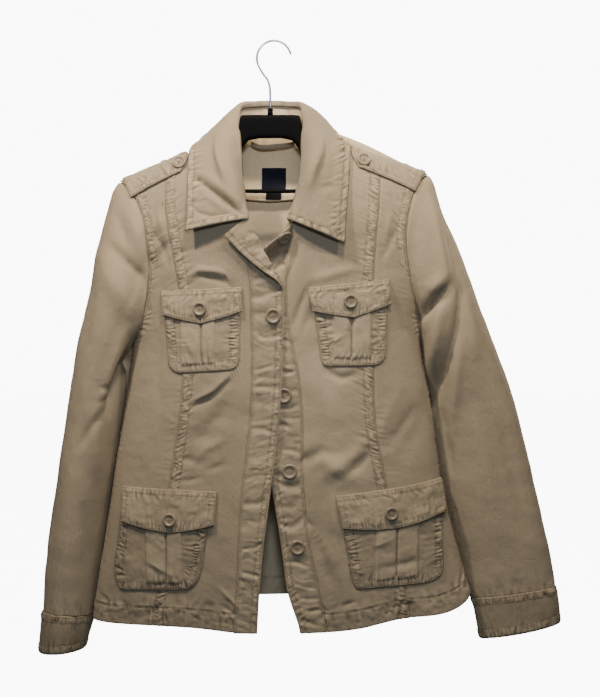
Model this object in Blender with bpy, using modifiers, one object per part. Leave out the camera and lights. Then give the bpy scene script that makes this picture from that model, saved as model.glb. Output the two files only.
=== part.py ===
import math

import bmesh
import bpy
import numpy as np
from mathutils import Matrix, Vector
from mathutils.bvhtree import BVHTree

for old in list(bpy.data.objects):
    bpy.data.objects.remove(old, do_unlink=True)

# Lengths are in millimetres and turned to metres as each mesh is made.
# x runs to the wearer's left, y to the back, z up; the hook hangs from the origin.
MM = 0.001
CENTRE = -5.0            # x of the middle of the jacket
CLOTH = 1.2              # wall of one ply of cloth
GAP = 0.4                # half the clearance at a seam
FOLD_GAP = 1.0           # the same where two panels meet at an angle
LAY = 0.9                # clearance under a piece laid on another
SHOULDER_FRONT = 90.0    # drop over which the front rounds away from the shoulder
SHOULDER_BACK = 70.0
ROUNDING = 2.5           # exponent of the body section
RIGHT, LEFT = -1, 1
FRONT, BACK = -1, 1

jacket = bpy.data.collections.new("safari_jacket")
bpy.context.scene.collection.children.link(jacket)

# level, half width right, half width left, front depth, back depth
BODY = np.array([
    (-765, 241.5, 277.0, 58, 52),
    (-723, 235.5, 266.6, 59, 52),
    (-668, 226.0, 251.0, 59, 51),
    (-616, 217.5, 236.5, 59, 50),
    (-572, 210.5, 226.0, 58, 50),
    (-531, 203.6, 220.0, 57, 49),
    (-474, 194.0, 212.0, 56, 48),
    (-437, 188.0, 205.0, 56, 48),
    (-391, 182.0, 196.5, 55, 47),
    (-300, 192.0, 203.0, 53, 45),
    (-176, 207.0, 217.0, 48, 39),
    (-120, 210.0, 220.0, 44, 35),
    (-60, 212.0, 222.0, 40, 33),
], float)

# distance from the middle, level of the shoulder line right and left
RIDGE = np.array([
    (0, -58, -58), (30, -66, -65), (48, -96, -93), (62, -122, -118),
    (104, -140, -135), (150, -158.6, -150.3), (196, -177.2, -165.2),
    (215, -185, -171.5), (280, -212, -193),
], float)

# x, level of the hem along the front and along the back
HEM = np.array([
    (-247, -760, -760), (-163, -756, -752), (-22, -761, -747), (32, -763, -746),
    (112, -758, -740), (162, -747, -736), (227, -741, -731), (262, -727, -727),
], float)


def flow(x, xs, ys):
    """Smooth curve through the stations, level beyond both ends."""
    xs, ys = np.asarray(xs, float), np.asarray(ys, float)
    if xs[0] > xs[-1]:
        xs, ys = xs[::-1], ys[::-1]
    step = np.diff(xs)
    rise = np.diff(ys) / step
    inner = (rise[:-1] * step[1:] + rise[1:] * step[:-1]) / (step[:-1] + step[1:])
    slope = np.concatenate([[rise[0]], inner, [rise[-1]]])
    x = np.clip(x, xs[0], xs[-1])
    i = np.clip(np.searchsorted(xs, x) - 1, 0, len(step) - 1)
    t = (x - xs[i]) / step[i]
    return (ys[i] * (1 + 2 * t) * (1 - t) ** 2 + slope[i] * step[i] * t * (1 - t) ** 2
            + ys[i + 1] * t * t * (3 - 2 * t) - slope[i + 1] * step[i] * t * t * (1 - t))


def ease(t):
    t = np.clip(t, 0, 1)
    return t * t * (3 - 2 * t)


# quarter section of the body: girth fraction s from the middle to the side
_a = np.linspace(0, math.pi / 2, 181)
_u, _v = np.sin(_a) ** (2 / ROUNDING), np.cos(_a) ** (2 / ROUNDING)
_s = np.concatenate([[0], np.cumsum(np.hypot(np.diff(_u) * 200, np.diff(_v) * 55))])
GIRTH = np.stack([_s / _s[-1], _u, _v])


def half(side, z):
    return flow(z, BODY[:, 0], BODY[:, 1 if side == RIGHT else 2])


def ridge(x):
    a = x - CENTRE
    right = np.interp(np.abs(a), RIDGE[:, 0], RIDGE[:, 1])
    left = np.interp(np.abs(a), RIDGE[:, 0], RIDGE[:, 2])
    return np.where(a < 0, right, left)


def hem(x, face):
    return flow(x, HEM[:, 0], HEM[:, 1 if face == FRONT else 2])


# level: how far the right front stands before the left one at its free edge
LIFT = np.array([
    (-765, 9.0), (-690, 8.5), (-600, 8.0), (-540, 6.5), (-450, 5.8), (-400, 5.0),
    (-348, 3.4), (-310, 4.6), (-236, 9.0), (-180, 6.0), (-120, 2.0),
], float)

# side, x and level at both ends, half breadth, height (below 0 a trough)
FOLDS = (
    (RIGHT, -196, -250, -150, -290, 9, -4.0),
    (LEFT, 236, -315, 186, -352, 10, -9.0),
    (LEFT, 222, -335, 200, -440, 11, 5.0),
    (LEFT, 199, -466, 160, -545, 14, -3.0),
    (RIGHT, -58, -424, -148, -484, 11, -2.6),
    (RIGHT, -150, -300, -60, -288, 9, 2.4),
    (LEFT, 45, -280, 150, -262, 10, 2.2),
    (RIGHT, -205, -560, -190, -730, 16, 3.0),
    (LEFT, 190, -480, 240, -720, 18, -3.5),
)


def folds(x, z):
    """Height of the large soft folds at a place seen from the front."""
    total = np.zeros(np.broadcast(x, z).shape)
    for _, x0, z0, x1, z1, broad, high in FOLDS:
        dx, dz = x1 - x0, z1 - z0
        t = np.clip(((x - x0) * dx + (z - z0) * dz) / (dx * dx + dz * dz), 0, 1)
        away = np.hypot(x - x0 - t * dx, z - z0 - t * dz) / broad
        total = total + high * np.exp(-away ** 2) * (0.35 + 0.65 * np.sin(math.pi * t))
    return total


def depth(x, z, face, lift=0.0):
    """y of the body form in front view; lift 1 adds the stand of the right front."""
    side = np.where(x < CENTRE, RIGHT, LEFT)
    w = np.where(side == RIGHT, half(RIGHT, z), half(LEFT, z))
    u = np.clip(np.abs(x - CENTRE) / w, 0, 1)
    v = np.interp(u, GIRTH[1], GIRTH[2])
    d = flow(z, BODY[:, 0], BODY[:, 3 if face == FRONT else 4])
    h = SHOULDER_FRONT if face == FRONT else SHOULDER_BACK
    t = np.clip((ridge(x) - z) / h, 0, 1)
    top = np.sqrt(1 - (1 - t) ** 2)
    y = face * d * v * top
    if face == FRONT:
        y = y - folds(x, z) * v * top
        y = y - lift * flow(z, LIFT[:, 0], LIFT[:, 1]) * ease((x + 118) / 82) * top
    return y


def skin(side, face, s, z, lift=0.0):
    """Point of the body form at girth fraction s and level z."""
    x = CENTRE + side * half(side, z) * np.interp(s, GIRTH[0], GIRTH[1])
    v = np.interp(s, GIRTH[0], GIRTH[2])
    flat = depth(x, z, face, lift)
    w = half(side, z)
    seen = np.interp(np.clip(np.abs(x - CENTRE) / w, 0, 1), GIRTH[1], GIRTH[2])
    return np.stack([x, flat * v / np.maximum(seen, 1e-6), z + 0 * x], -1)


def girth_at(side, x, z):
    return np.interp(np.abs(x - CENTRE) / half(side, z), GIRTH[1], GIRTH[0])


def material(name, colour, rough, metal=0.0):
    made = bpy.data.materials.new(name)
    made.use_nodes = True
    shader = made.node_tree.nodes["Principled BSDF"]
    shader.inputs["Base Color"].default_value = (*colour, 1)
    shader.inputs["Roughness"].default_value = rough
    shader.inputs["Metallic"].default_value = metal
    return made


KHAKI = (0.42, 0.35, 0.245)
KHAKI_SHADE = (0.36, 0.30, 0.21)


def grid_mesh(name, points, colour, rough=0.9, metal=0.0, closed=False, flip=False):
    """Quad grid from an array of points; closed joins the last column to the first."""
    rows, cols = points.shape[:2]
    verts = (points.reshape(-1, 3) * MM).tolist()
    faces = []
    for r in range(rows - 1):
        for c in range(cols if closed else cols - 1):
            d = (c + 1) % cols
            face = (r * cols + c, (r + 1) * cols + c, (r + 1) * cols + d, r * cols + d)
            faces.append(face[::-1] if flip else face)
    mesh = bpy.data.meshes.new(name)
    mesh.from_pydata(verts, [], faces)
    mesh.materials.append(material(name, colour, rough, metal))
    made = bpy.data.objects.new(name, mesh)
    jacket.objects.link(made)
    return made


def cloth(name, points, colour=KHAKI, wall=CLOTH, offset=-1.0, **kind):
    """Sheet of cloth: the grid given a wall; offset -1 keeps the grid outside."""
    made = grid_mesh(name, points, colour, **kind)
    shell = made.modifiers.new("wall", "SOLIDIFY")
    shell.thickness = wall * MM
    shell.offset = offset
    shell.use_even_offset = True
    shell.use_quality_normals = True
    return made


def bed_of(*grids):
    """Faceted surface of built panels, to lay other pieces on."""
    verts, faces = [], []
    for points in grids:
        rows, cols = points.shape[:2]
        first = len(verts)
        verts += [Vector(p) for p in points.reshape(-1, 3)]
        faces += [(first + r * cols + c, first + (r + 1) * cols + c,
                   first + (r + 1) * cols + c + 1, first + r * cols + c + 1)
                  for r in range(rows - 1) for c in range(cols - 1)]
    return BVHTree.FromPolygons(verts, faces)


def rest_on(bed, point, normal, high):
    """The point carried along the normal to a height over the faceted surface."""
    normal = np.asarray(normal, float) / np.linalg.norm(normal)
    for slip in (0, 1.2, -1.2):
        start = np.asarray(point, float) + normal * 30 + np.array([slip, 0, 0])
        hit = bed.ray_cast(Vector(start), Vector(-normal), 40)[0]
        if hit is not None:
            return np.array(hit) - [slip, 0, 0] + normal * high
    return np.asarray(point, float) + normal * high


def laid(bed, x, z, high, face=FRONT, lift=0.0):
    """A place seen from the front, moved out along the normal of the panel."""
    x, z = float(x), float(z)
    gx = float(depth(x + 1, z, face, lift) - depth(x - 1, z, face, lift)) / 2
    gz = float(depth(x, z + 1, face, lift) - depth(x, z - 1, face, lift)) / 2
    normal = np.array([gx, -1, gz]) * -face
    return rest_on(bed, (x, float(depth(x, z, face, lift)), z), normal, high)


# --- armholes -------------------------------------------------------------
# level, x of the seam on the front and on the back
ARMHOLE = {
    RIGHT: np.array([
        (-177.0, -200.5, -200.5), (-184, -190, -194), (-194, -181, -188),
        (-212, -171.0, -182), (-257, -161.4, -176), (-291, -158.9, -175),
        (-330, -163.3, -177), (-360, -171.5, -180), (-380, -179.8, -183.8),
        (-391, -184.6, -185.6), (-396, -187.3, -187.3),
    ], float),
    LEFT: np.array([
        (-168.0, 199.5, 199.5), (-175, 190, 193), (-186, 182, 187),
        (-210, 173.5, 180), (-259, 168.7, 175), (-284, 172.0, 175),
        (-310, 178.0, 178), (-348, 186.0, 184), (-370, 189.3, 188),
        (-383, 191.4, 190.5), (-390, 192.0, 192.0),
    ], float),
}
RING = 16                # points round a sleeve
ARM_STEPS = np.array([0, 0.04, 0.10, 0.19, 0.31, 0.45, 0.61, 0.80, 1])


def arm_edge(side, face):
    """Points down the armhole seam from the shoulder tip to the underarm."""
    table = ARMHOLE[side]
    z = np.linspace(table[0, 0], table[-1, 0], 240)
    x = flow(z, table[:, 0], table[:, 1 if face == FRONT else 2])
    p = np.stack([x, depth(x, z, face), z], -1)
    p[0, 1] = p[-1, 1] = 0
    run = np.concatenate([[0], np.cumsum(np.linalg.norm(np.diff(p, axis=0), axis=1))])
    t = run[-1] * ARM_STEPS
    return np.stack([np.interp(t, run, p[:, k]) for k in range(3)], -1)


def arm_girth(side, face, z):
    table = ARMHOLE[side]
    x = flow(z, table[:, 0], table[:, 1 if face == FRONT else 2])
    s = girth_at(side, x, z)
    return np.where(z <= table[-1, 0] + 0.01, 1.0, s)


# --- seams of the fronts ---------------------------------------------------
# level, x of the princess seam
PRINCESS = {
    RIGHT: np.array([(-149, -131), (-204, -131.9), (-254, -125.3), (-311, -115.2),
                     (-430, -110.9), (-510, -120.5), (-564, -128.9), (-722, -149.4),
                     (-770, -155)], float),
    LEFT: np.array([(-141, 129.5), (-191, 128.7), (-254, 123.6), (-299, 121.1),
                    (-422, 121.6), (-497, 125.9), (-560, 138), (-720, 167),
                    (-770, 176)], float),
}
# level, x of the seam that joins the placket
PLACKET = {
    RIGHT: np.array([(-120, -34), (-240, -34), (-326, -29.6), (-482, -30.6),
                     (-580, -41.8), (-719, -49.8), (-770, -54)], float),
    LEFT: np.array([(-120, 25), (-250, 22), (-290, 17), (-348, 18), (-390, 25),
                    (-433, 33), (-480, 37), (-550, 37), (-640, 45), (-721, 61),
                    (-770, 70)], float),
}
# distance from the middle, level of the neckline right and left
NECK = np.array([(26, -243, -238), (31, -228, -228), (37, -208, -210), (43, -186, -188),
                 (50, -158, -155), (57, -134, -131), (62, -122, -118)], float)
ROWS_ARM = RING // 2     # rows beside the armhole
ROWS_LOW = 11            # rows below the underarm


def outer_levels(side, face):
    """Levels down the armhole seam, then down the side seam to the hem."""
    upper = arm_edge(side, face)[:, 2]
    low = hem(CENTRE + side * half(side, -740), face)
    t = np.linspace(0, 1, ROWS_LOW + 1)[1:]
    return np.concatenate([upper, upper[-1] + (low - upper[-1]) * t])


def spread(levels, top, bottom):
    """The same rhythm of rows between another top and bottom."""
    t = (levels - levels[0]) / (levels[-1] - levels[0])
    return top + (bottom - top) * t


def front_side(side, lift):
    """Front panel between the princess seam and the side seam."""
    outer = outer_levels(side, FRONT)
    rows = []
    for c in np.linspace(0, 1, 5):
        x_top = np.interp(c, [0, 1], [PRINCESS[side][0, 1], ARMHOLE[side][0, 1]])
        x_low = np.interp(c, [0, 1], [PRINCESS[side][-1, 1], side * half(side, -745)])
        z = spread(outer, ridge(x_top) - 0.01, hem(x_low, FRONT))
        z = outer if c == 1 else z
        inner_x = flow(z, PRINCESS[side][:, 0], PRINCESS[side][:, 1])
        s_in = girth_at(side, inner_x, z)
        s_out = arm_girth(side, FRONT, z)
        s = s_in + (s_out - s_in) * c
        rows.append(skin(side, FRONT, s, z, lift))
    p = np.stack(rows, 1)
    p[:, 0, 0] += side * GAP
    p[0, :, 1] = np.minimum(p[0, :, 1], -FOLD_GAP)
    p[ROWS_ARM:, -1, 1] = -FOLD_GAP
    return p if side == LEFT else p[:, ::-1]


def front_centre(side, lift):
    """Front panel between the placket and the princess seam, cut to the neckline."""
    outer = outer_levels(side, FRONT)
    x_p = PRINCESS[side][0, 1]
    x_0 = PLACKET[side][0, 1] if side == LEFT else -34.0
    rows = []
    for c in (0, 0.1, 0.2, 0.31, 0.42, 0.6, 0.8, 1):
        x_top = x_0 + (x_p - x_0) * c
        a = abs(x_top - CENTRE)
        col = 1 if side == RIGHT else 2
        top = np.interp(a, NECK[:, 0], NECK[:, col]) if a < 62 else float(ridge(x_top))
        x_low = np.interp(c, [0, 1], [PLACKET[side][-1, 1], PRINCESS[side][-1, 1]])
        z = spread(outer, top - 0.01, hem(x_low, FRONT))
        a_x = flow(z, PLACKET[side][:, 0], PLACKET[side][:, 1])
        b_x = flow(z, PRINCESS[side][:, 0], PRINCESS[side][:, 1])
        s = girth_at(side, a_x + (b_x - a_x) * c, z)
        rows.append(skin(side, FRONT, s, z, lift))
    p = np.stack(rows, 1)
    p[:, 0, 0] += side * GAP
    p[0, :, 1] = np.minimum(p[0, :, 1], -FOLD_GAP)
    return p if side == LEFT else p[:, ::-1]


fronts = []
for side, word in ((RIGHT, "right"), (LEFT, "left")):
    lift = 1.0 if side == RIGHT else 0.0
    fronts += [front_side(side, lift), front_centre(side, lift)]
    cloth(f"front_{word}_side", fronts[-2])
    cloth(f"front_{word}_centre", fronts[-1])


# --- back ------------------------------------------------------------------
# distance from the middle, level of the neckline of the back right and left
NECK_BACK = np.array([(0, -106, -106), (20, -107, -107), (40, -110.5, -110),
                      (55, -116, -114), (62, -122, -118)], float)


def back_panel():
    columns = []
    shares = np.array([1, 0.86, 0.72, 0.58, 0.45, 0.33, 0.18, 0])
    for side in (RIGHT, LEFT):
        outer = outer_levels(side, BACK)
        tip = abs(ARMHOLE[side][0, 1] - CENTRE)
        col = 1 if side == RIGHT else 2
        half_columns = []
        for c in shares:
            a = tip * c
            x_top = CENTRE + side * a
            top = (np.interp(a, NECK_BACK[:, 0], NECK_BACK[:, col]) if a < 62
                   else float(ridge(x_top)))
            x_low = CENTRE + side * half(side, -745) * c
            z = outer if c == 1 else spread(outer, top - 0.01, hem(x_low, BACK))
            if c == 0:
                z = spread(outer_levels(RIGHT, BACK), top, hem(x_low, BACK))
            s = arm_girth(side, BACK, z)
            x_out = half(side, z) * np.interp(s, GIRTH[0], GIRTH[1])
            s = girth_at(side, CENTRE + side * x_out * c, z) if c < 1 else s
            p = skin(side, BACK, s, z)
            p[0, 1] = max(p[0, 1], FOLD_GAP)
            half_columns.append(p)
        columns.append(half_columns)
    return np.stack(columns[0] + columns[1][-2::-1], 1)


back = back_panel()
back[ROWS_ARM:, 0, 1] = back[ROWS_ARM:, -1, 1] = FOLD_GAP
cloth("back", back[:, ::-1])
back_bed = bed_of(back)

# facing that lines the neck of the back, deep enough for the label
facing = []
for a, low in ((-76, -190), (-58, -210), (-40, -217), (-20, -220), (0, -221),
               (20, -220), (40, -217), (58, -210), (76, -190)):
    x = CENTRE + a
    col = 1 if a < 0 else 2
    top = (np.interp(abs(a), NECK_BACK[:, 0], NECK_BACK[:, col]) - 4 if abs(a) < 62
           else float(ridge(x)) - 14)
    facing.append([laid(back_bed, x, z, -3.6, BACK) for z in np.linspace(top, low, 6)])
facing = np.array(facing).transpose(1, 0, 2)
cloth("back_facing", facing, KHAKI_SHADE, wall=0.8, offset=1.0)


# --- plackets ----------------------------------------------------------------
# level, x of the free edge
EDGE = {
    RIGHT: np.array([(-240, 3.0), (-308, 9.4), (-328, 12.5), (-366, 11.4),
                     (-430, 10.2), (-481, 6.7), (-579, -5.2), (-662, -15.4),
                     (-755, -21.9), (-770, -22.6)], float),
    LEFT: np.array([(-238, -10.0), (-264, -12.4), (-300, -17), (-348, -20),
                    (-400, -15), (-450, -8), (-520, -5), (-563, -3.3), (-613, 4.0),
                    (-657, 10.4), (-710, 17.8), (-761, 32.9), (-770, 34)], float),
}
# share up the turned-back corner, x and level of the fold, x and level of the
# edge before it turns, angle turned
LAPEL = np.array([
    (0.00, 5.5, -322, 12.2, -322, 0), (0.10, 3.5, -312, 11.0, -311, 52),
    (0.24, -1.5, -299, 9.6, -297, 118), (0.45, -9.0, -280, 7.8, -275, 158),
    (0.70, -18.0, -259, 5.6, -253, 170), (1.00, -29.0, -235.5, 3.0, -231.5, 172),
], float)
ROLL = 2.1               # radius of the turn of the lapel
PLY = 1.8                # wall of a placket, two plies


def placket_right():
    rows = []
    steps = [("low", z) for z in np.linspace(0, 1, 12)] + [
        ("lapel", r) for r in (0.1, 0.24, 0.45, 0.7, 1.0)]
    for kind, r in steps:
        if kind == "low":
            x_low = -36.0
            z = hem(x_low, FRONT) + (-322 - hem(x_low, FRONT)) * r
            edge = np.array([flow(z, *EDGE[RIGHT].T), z])
            fold = edge - [6.5, 0]
            turn, seam_z = 0.0, z
        else:
            fold = np.array([np.interp(r, LAPEL[:, 0], LAPEL[:, k]) for k in (1, 2)])
            edge = np.array([np.interp(r, LAPEL[:, 0], LAPEL[:, k]) for k in (3, 4)])
            turn = math.radians(np.interp(r, LAPEL[:, 0], LAPEL[:, 5]))
            seam_z = -322 + (-240 + 322) * r
        seam = np.array([flow(seam_z, *PLACKET[RIGHT].T) + GAP, seam_z])
        up = np.array([-29.0 - 5.5, -235.5 + 322])
        up = up / np.linalg.norm(up) if kind == "lapel" else np.array([0.0, 1.0])
        out = np.array([up[1], -up[0]])
        reach, slide = (edge - fold) @ out, (edge - fold) @ up
        flat, rise = [], []
        for c in (0, 0.34, 0.67, 1.0):
            flat.append(seam + (fold - seam) * c)
            rise.append(0.0)
        for k in (1, 2, 3):
            a = turn * k / 3
            flat.append(fold + out * ROLL * math.sin(a))
            rise.append(ROLL * (1 - math.cos(a)))
            if turn == 0:
                flat[-1] = fold + out * 0.8 * k
        done = 0.0 if turn else 2.4 / reach
        for c in (0.33, 0.66, 1.0):
            c = done + (1 - done) * c
            flat.append(fold + out * (ROLL * math.sin(turn) + c * reach * math.cos(turn))
                        + up * slide * c)
            rise.append(ROLL * (1 - math.cos(turn)) + c * reach * math.sin(turn))
        flat, rise = np.array(flat), np.array(rise)
        y = depth(flat[:, 0], flat[:, 1], FRONT, 1.0) + PLY / 2 - rise
        rows.append(np.stack([flat[:, 0], y, flat[:, 1]], -1))
    return np.stack(rows[::-1], 0)


def placket_left():
    rows = []
    for r in np.linspace(0, 1, 16):
        row = []
        for c in (0, 0.33, 0.67, 1.0):
            top = -263.0 + 30.0 * c
            x_low = 33.5 + 36 * c
            z = top + (hem(x_low, FRONT) - top) * r
            x0, x1 = flow(z, *EDGE[LEFT].T), flow(z, *PLACKET[LEFT].T) - GAP
            x = x0 + (x1 - x0) * c
            row.append((x, float(depth(x, z, FRONT)), float(z)))
        rows.append(row)
    return np.array(rows, float)


right_edge, left_edge = placket_right(), placket_left()
cloth("placket_right", right_edge, wall=PLY, offset=0.0)
cloth("placket_left", left_edge, wall=PLY)
front_bed = bed_of(*fronts, left_edge)

# --- sleeves -------------------------------------------------------------------
# x and level of the outer line, of the inner line, half depth, middle y,
# share of the armhole form still held, rise of the front over the back
SLEEVE = {
    RIGHT: np.array([
        (-209.9, -189.2, -190.2, -399.0, 43, 2, 0.86, 0),
        (-217.7, -213.0, -190.8, -403.0, 46, 3, 0.64, 0),
        (-229.0, -251.6, -191.4, -408.0, 49, 4, 0.40, 0),
        (-237.0, -284.6, -192.2, -414.0, 51, 5, 0.22, 0),
        (-243.7, -317.3, -192.8, -423.0, 52, 6, 0.10, 0),
        (-252.2, -355.5, -195.6, -438.0, 52, 7, 0.03, 0),
        (-263.8, -404.5, -199.6, -461.0, 52, 8, 0, 0),
        (-273.5, -460.0, -205.2, -492.0, 51, 8, 0, 1),
        (-284.5, -520.0, -212.4, -534.0, 50, 8, 0, 2),
        (-296.0, -585.0, -221.0, -588.0, 48, 8, 0, 4),
        (-306.0, -654.0, -231.5, -652.0, 46, 8, 0, 6),
        (-312.5, -712.0, -242.0, -714.0, 44, 8, 0, 8),
        (-315.0, -754.0, -249.5, -760.5, 42, 8, 0, 9),
    ], float),
    LEFT: np.array([
        (205.5, -177.0, 193.2, -393.5, 39, 2, 0.86, 0),
        (214.5, -199.5, 194.2, -397.5, 41, 2, 0.64, 0),
        (229.5, -235.0, 195.4, -402.0, 42, 3, 0.40, 0),
        (244.0, -269.4, 196.8, -407.5, 42, 4, 0.22, 0),
        (258.0, -305.5, 198.4, -414.5, 41, 5, 0.10, 0),
        (274.0, -348.0, 201.0, -427.0, 38, 6, 0.03, 0),
        (293.0, -397.0, 205.4, -446.0, 34, 7, 0, 0),
        (313.5, -450.0, 211.0, -477.0, 30, 8, 0, 0),
        (331.0, -511.0, 218.6, -521.0, 27, 8, 0, 1),
        (346.0, -569.0, 228.2, -575.0, 25, 8, 0, 2),
        (360.5, -627.0, 242.0, -633.0, 23, 8, 0, 2),
        (374.5, -685.0, 257.5, -693.0, 21, 8, 0, 3),
        (380.3, -721.0, 269.0, -737.5, 19, 8, 0, 3),
    ], float),
}


def ellipse(row, even=1.0):
    """Ring between the outer and inner lines, the front half first."""
    steps = ARM_STEPS + (np.linspace(0, 1, len(ARM_STEPS)) - ARM_STEPS) * even
    a = np.concatenate([steps, 2 - steps[-2:0:-1]]) * math.pi
    out, inn = np.array([row[0], row[1]]), np.array([row[2], row[3]])
    flat = (out + inn) / 2 + (out - inn) / 2 * np.cos(a)[:, None]
    y = row[5] - row[4] * np.sin(a)
    return np.stack([flat[:, 0], y, flat[:, 1] + row[7] * np.sin(a)], -1)


def arm_ring(side):
    front, rear = arm_edge(side, FRONT), arm_edge(side, BACK)
    return np.concatenate([front, rear[-2:0:-1]])


def sleeve(side):
    table = SLEEVE[side]
    hole = arm_ring(side)
    first = ellipse((hole[0, 0], hole[0, 2], hole[RING // 2, 0], hole[RING // 2, 2],
                     40, 1, 0, 0), 0)
    rings = [hole]
    for k, row in enumerate(table):
        rings.append(ellipse(row, min((k + 1) / 7, 1)) + (hole - first) * row[6])
    rings = np.array(rings)
    lead = rings[1] - rings[0]
    lead = lead / np.linalg.norm(lead, axis=1, keepdims=True)
    rings[0] = rings[0] + lead * (4 * GAP) + [side * GAP, 0, 0]
    return rings


sleeves = []
for side, word in ((RIGHT, "right"), (LEFT, "left")):
    sleeves.append(sleeve(side))
    cloth(f"sleeve_{word}", sleeves[-1], closed=True, flip=side == LEFT)

# --- cuffs -----------------------------------------------------------------------
# x and level of the outer line, of the inner line, half depth, middle y, share of the
# armhole form still held, rise of the front over the back
CUFF = {
    RIGHT: np.array([
        (-316.2, -755.2, -249.4, -761.6, 43, 8, 0, 9),
        (-319.8, -783.0, -254.0, -785.0, 43, 8, 0, 7),
        (-323.0, -809.0, -259.0, -806.0, 41, 8, 0, 5),
    ], float),
    LEFT: np.array([
        (381.3, -721.6, 269.3, -738.2, 20.5, 8, 0, 3),
        (386.0, -746.0, 273.6, -766.0, 20.5, 8, 0, 2),
        (388.5, -771.0, 278.3, -793.0, 20, 8, 0, 1),
    ], float),
}
for side, word in ((RIGHT, "right"), (LEFT, "left")):
    rings = np.array([ellipse(row) for row in CUFF[side]])
    cloth(f"cuff_{word}", rings, wall=1.8, closed=True, flip=side == LEFT)

# --- collar -------------------------------------------------------------------------
# x y z of the roll line, then of the outer edge, height of the roll, from the
# wearer's right front end round the neck to the left
COLLAR = np.array([
    (-33.0, -62, -229.0, -110.0, -61, -243, 5.0),
    (-39.0, -46, -192.0, -109.5, -52, -197, 6.0),
    (-43.5, -23, -151.0, -109.0, -30, -158, 7.0),
    (-48.0, 2, -97.0, -108.5, 0, -137.5, 7.0),
    (-44.5, 19, -79.0, -97.0, 27, -131, 6.0),
    (-27.0, 30, -75.0, -56.0, 42, -136, 5.0),
    (-4.0, 33, -73.5, -5.0, 46, -139, 5.0),
    (19.0, 31, -74.5, 46.0, 42, -136, 5.0),
    (35.5, 19, -78.0, 85.0, 27, -129, 6.0),
    (38.0, 3, -95.0, 96.5, 1, -131.5, 7.0),
    (36.5, -22, -151.0, 96.5, -27, -152, 7.0),
    (31.0, -44, -192.0, 95.0, -50, -197, 6.0),
    (20.0, -56, -229.0, 90.5, -60, -258, 5.0),
], float)
# distance from the middle of the neckline at the same stations, face
NECK_STATIONS = ((29, FRONT), (43, FRONT), (53, FRONT), (62, FRONT), (52, BACK),
                 (26, BACK), (0, BACK), (26, BACK), (52, BACK), (62, FRONT),
                 (53, FRONT), (43, FRONT), (28, FRONT))


def round_neck(values, count):
    t = np.linspace(0, len(values) - 1, count)
    return np.stack([flow(t, np.arange(len(values)), values[:, k])
                     for k in range(values.shape[1])], -1)


def neck_line():
    line = []
    for i, (a, face) in enumerate(NECK_STATIONS):
        side = RIGHT if i < 6 else LEFT
        table, col = (NECK if face == FRONT else NECK_BACK), (1 if side == RIGHT else 2)
        z = float(np.interp(a, table[:, 0], table[:, col]))
        x = CENTRE + side * a
        y = float(depth(np.array(x), np.array(z), face, float(side == RIGHT)))
        line.append((x, y, z))
    return np.array(line)


def clear_of_body(points, clear, lift):
    """Moves points out until they stand clear of the body form."""
    points = points.copy()
    for _ in range(6):
        x, y, z = points[..., 0], points[..., 1], points[..., 2]
        for face in (FRONT, BACK):
            held = (y * face >= 0) & (z < ridge(x) - 0.01)
            base = depth(x, z, face, lift)
            run = (depth(x, z - 0.5, face, lift) - base) / -0.5
            side = (depth(x + 0.5, z, face, lift) - base) / 0.5
            size = np.sqrt(1 + run ** 2 + side ** 2)
            short = clear - face * (y - base) / size
            push = np.where(held & (short > 0), short, 0)
            points[..., 1] += face * push / size
            points[..., 0] -= face * push * side / size
            points[..., 2] -= face * push * run / size
        near = (points[..., 2] - ridge(points[..., 0]) < clear * 1.1)
        over = (np.abs(points[..., 1]) < 5) & near
        points[..., 2] = np.where(over, ridge(points[..., 0]) + clear * 1.1,
                                  points[..., 2])
    return points


AROUND = 29
roll = round_neck(COLLAR[:, :3], AROUND)
edge = round_neck(COLLAR[:, 3:6], AROUND)
swell = round_neck(COLLAR[:, 6:], AROUND)
seam = round_neck(neck_line(), AROUND)
rise = roll - seam
rise = rise / np.linalg.norm(rise, axis=1, keepdims=True)
stand = np.stack([seam + rise * 2.8, (seam + roll) / 2 + rise * 1.4, roll], 1)
cloth("collar_stand", stand, KHAKI_SHADE, offset=0.0)

fall = []
along = np.gradient(roll * 0.5 + edge * 0.5, axis=0)
across = edge - roll
out = np.cross(across, along)
out = out / np.linalg.norm(out, axis=1, keepdims=True)
from_middle = (roll + edge) / 2 - [CENTRE, -5, -185]
out = out * np.sign((out * from_middle).sum(1))[:, None]
for c in (0, 0.08, 0.22, 0.45, 0.72, 1.0):
    high = swell * math.sin(math.pi * c ** 0.55)
    fall.append(roll + rise * 2.4 + across * c + out * high)
fall = np.stack(fall, 1)
lifted = (fall[..., 0] < CENTRE).astype(float)
fall = clear_of_body(fall, 2.4, lifted)
cloth("collar_fall", fall[:, ::-1], KHAKI)


# --- pocket bags and flaps -------------------------------------------------------
# corners in x and level: top outer and inner ends, low ends, point of the flap
FLAPS = {
    "chest_right": (RIGHT, (-143.7, -317.1), (-40.1, -311.6), (-141.4, -348.2),
                    (-39.8, -342.4), (-91.6, -359.1)),
    "chest_left": (LEFT, (43.5, -312.4), (146.7, -302.4), (48.8, -342.5),
                   (148.6, -334.1), (101.4, -351.4)),
    "lower_right": (RIGHT, (-197.4, -572.6), (-72.8, -574.0), (-197.9, -618.4),
                    (-76.0, -617.1), (-133.9, -630.1)),
    "lower_left": (LEFT, (79.0, -580.9), (217.6, -565.0), (87.2, -623.0),
                   (222.8, -608.7), (158.9, -625.2)),
}
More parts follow.
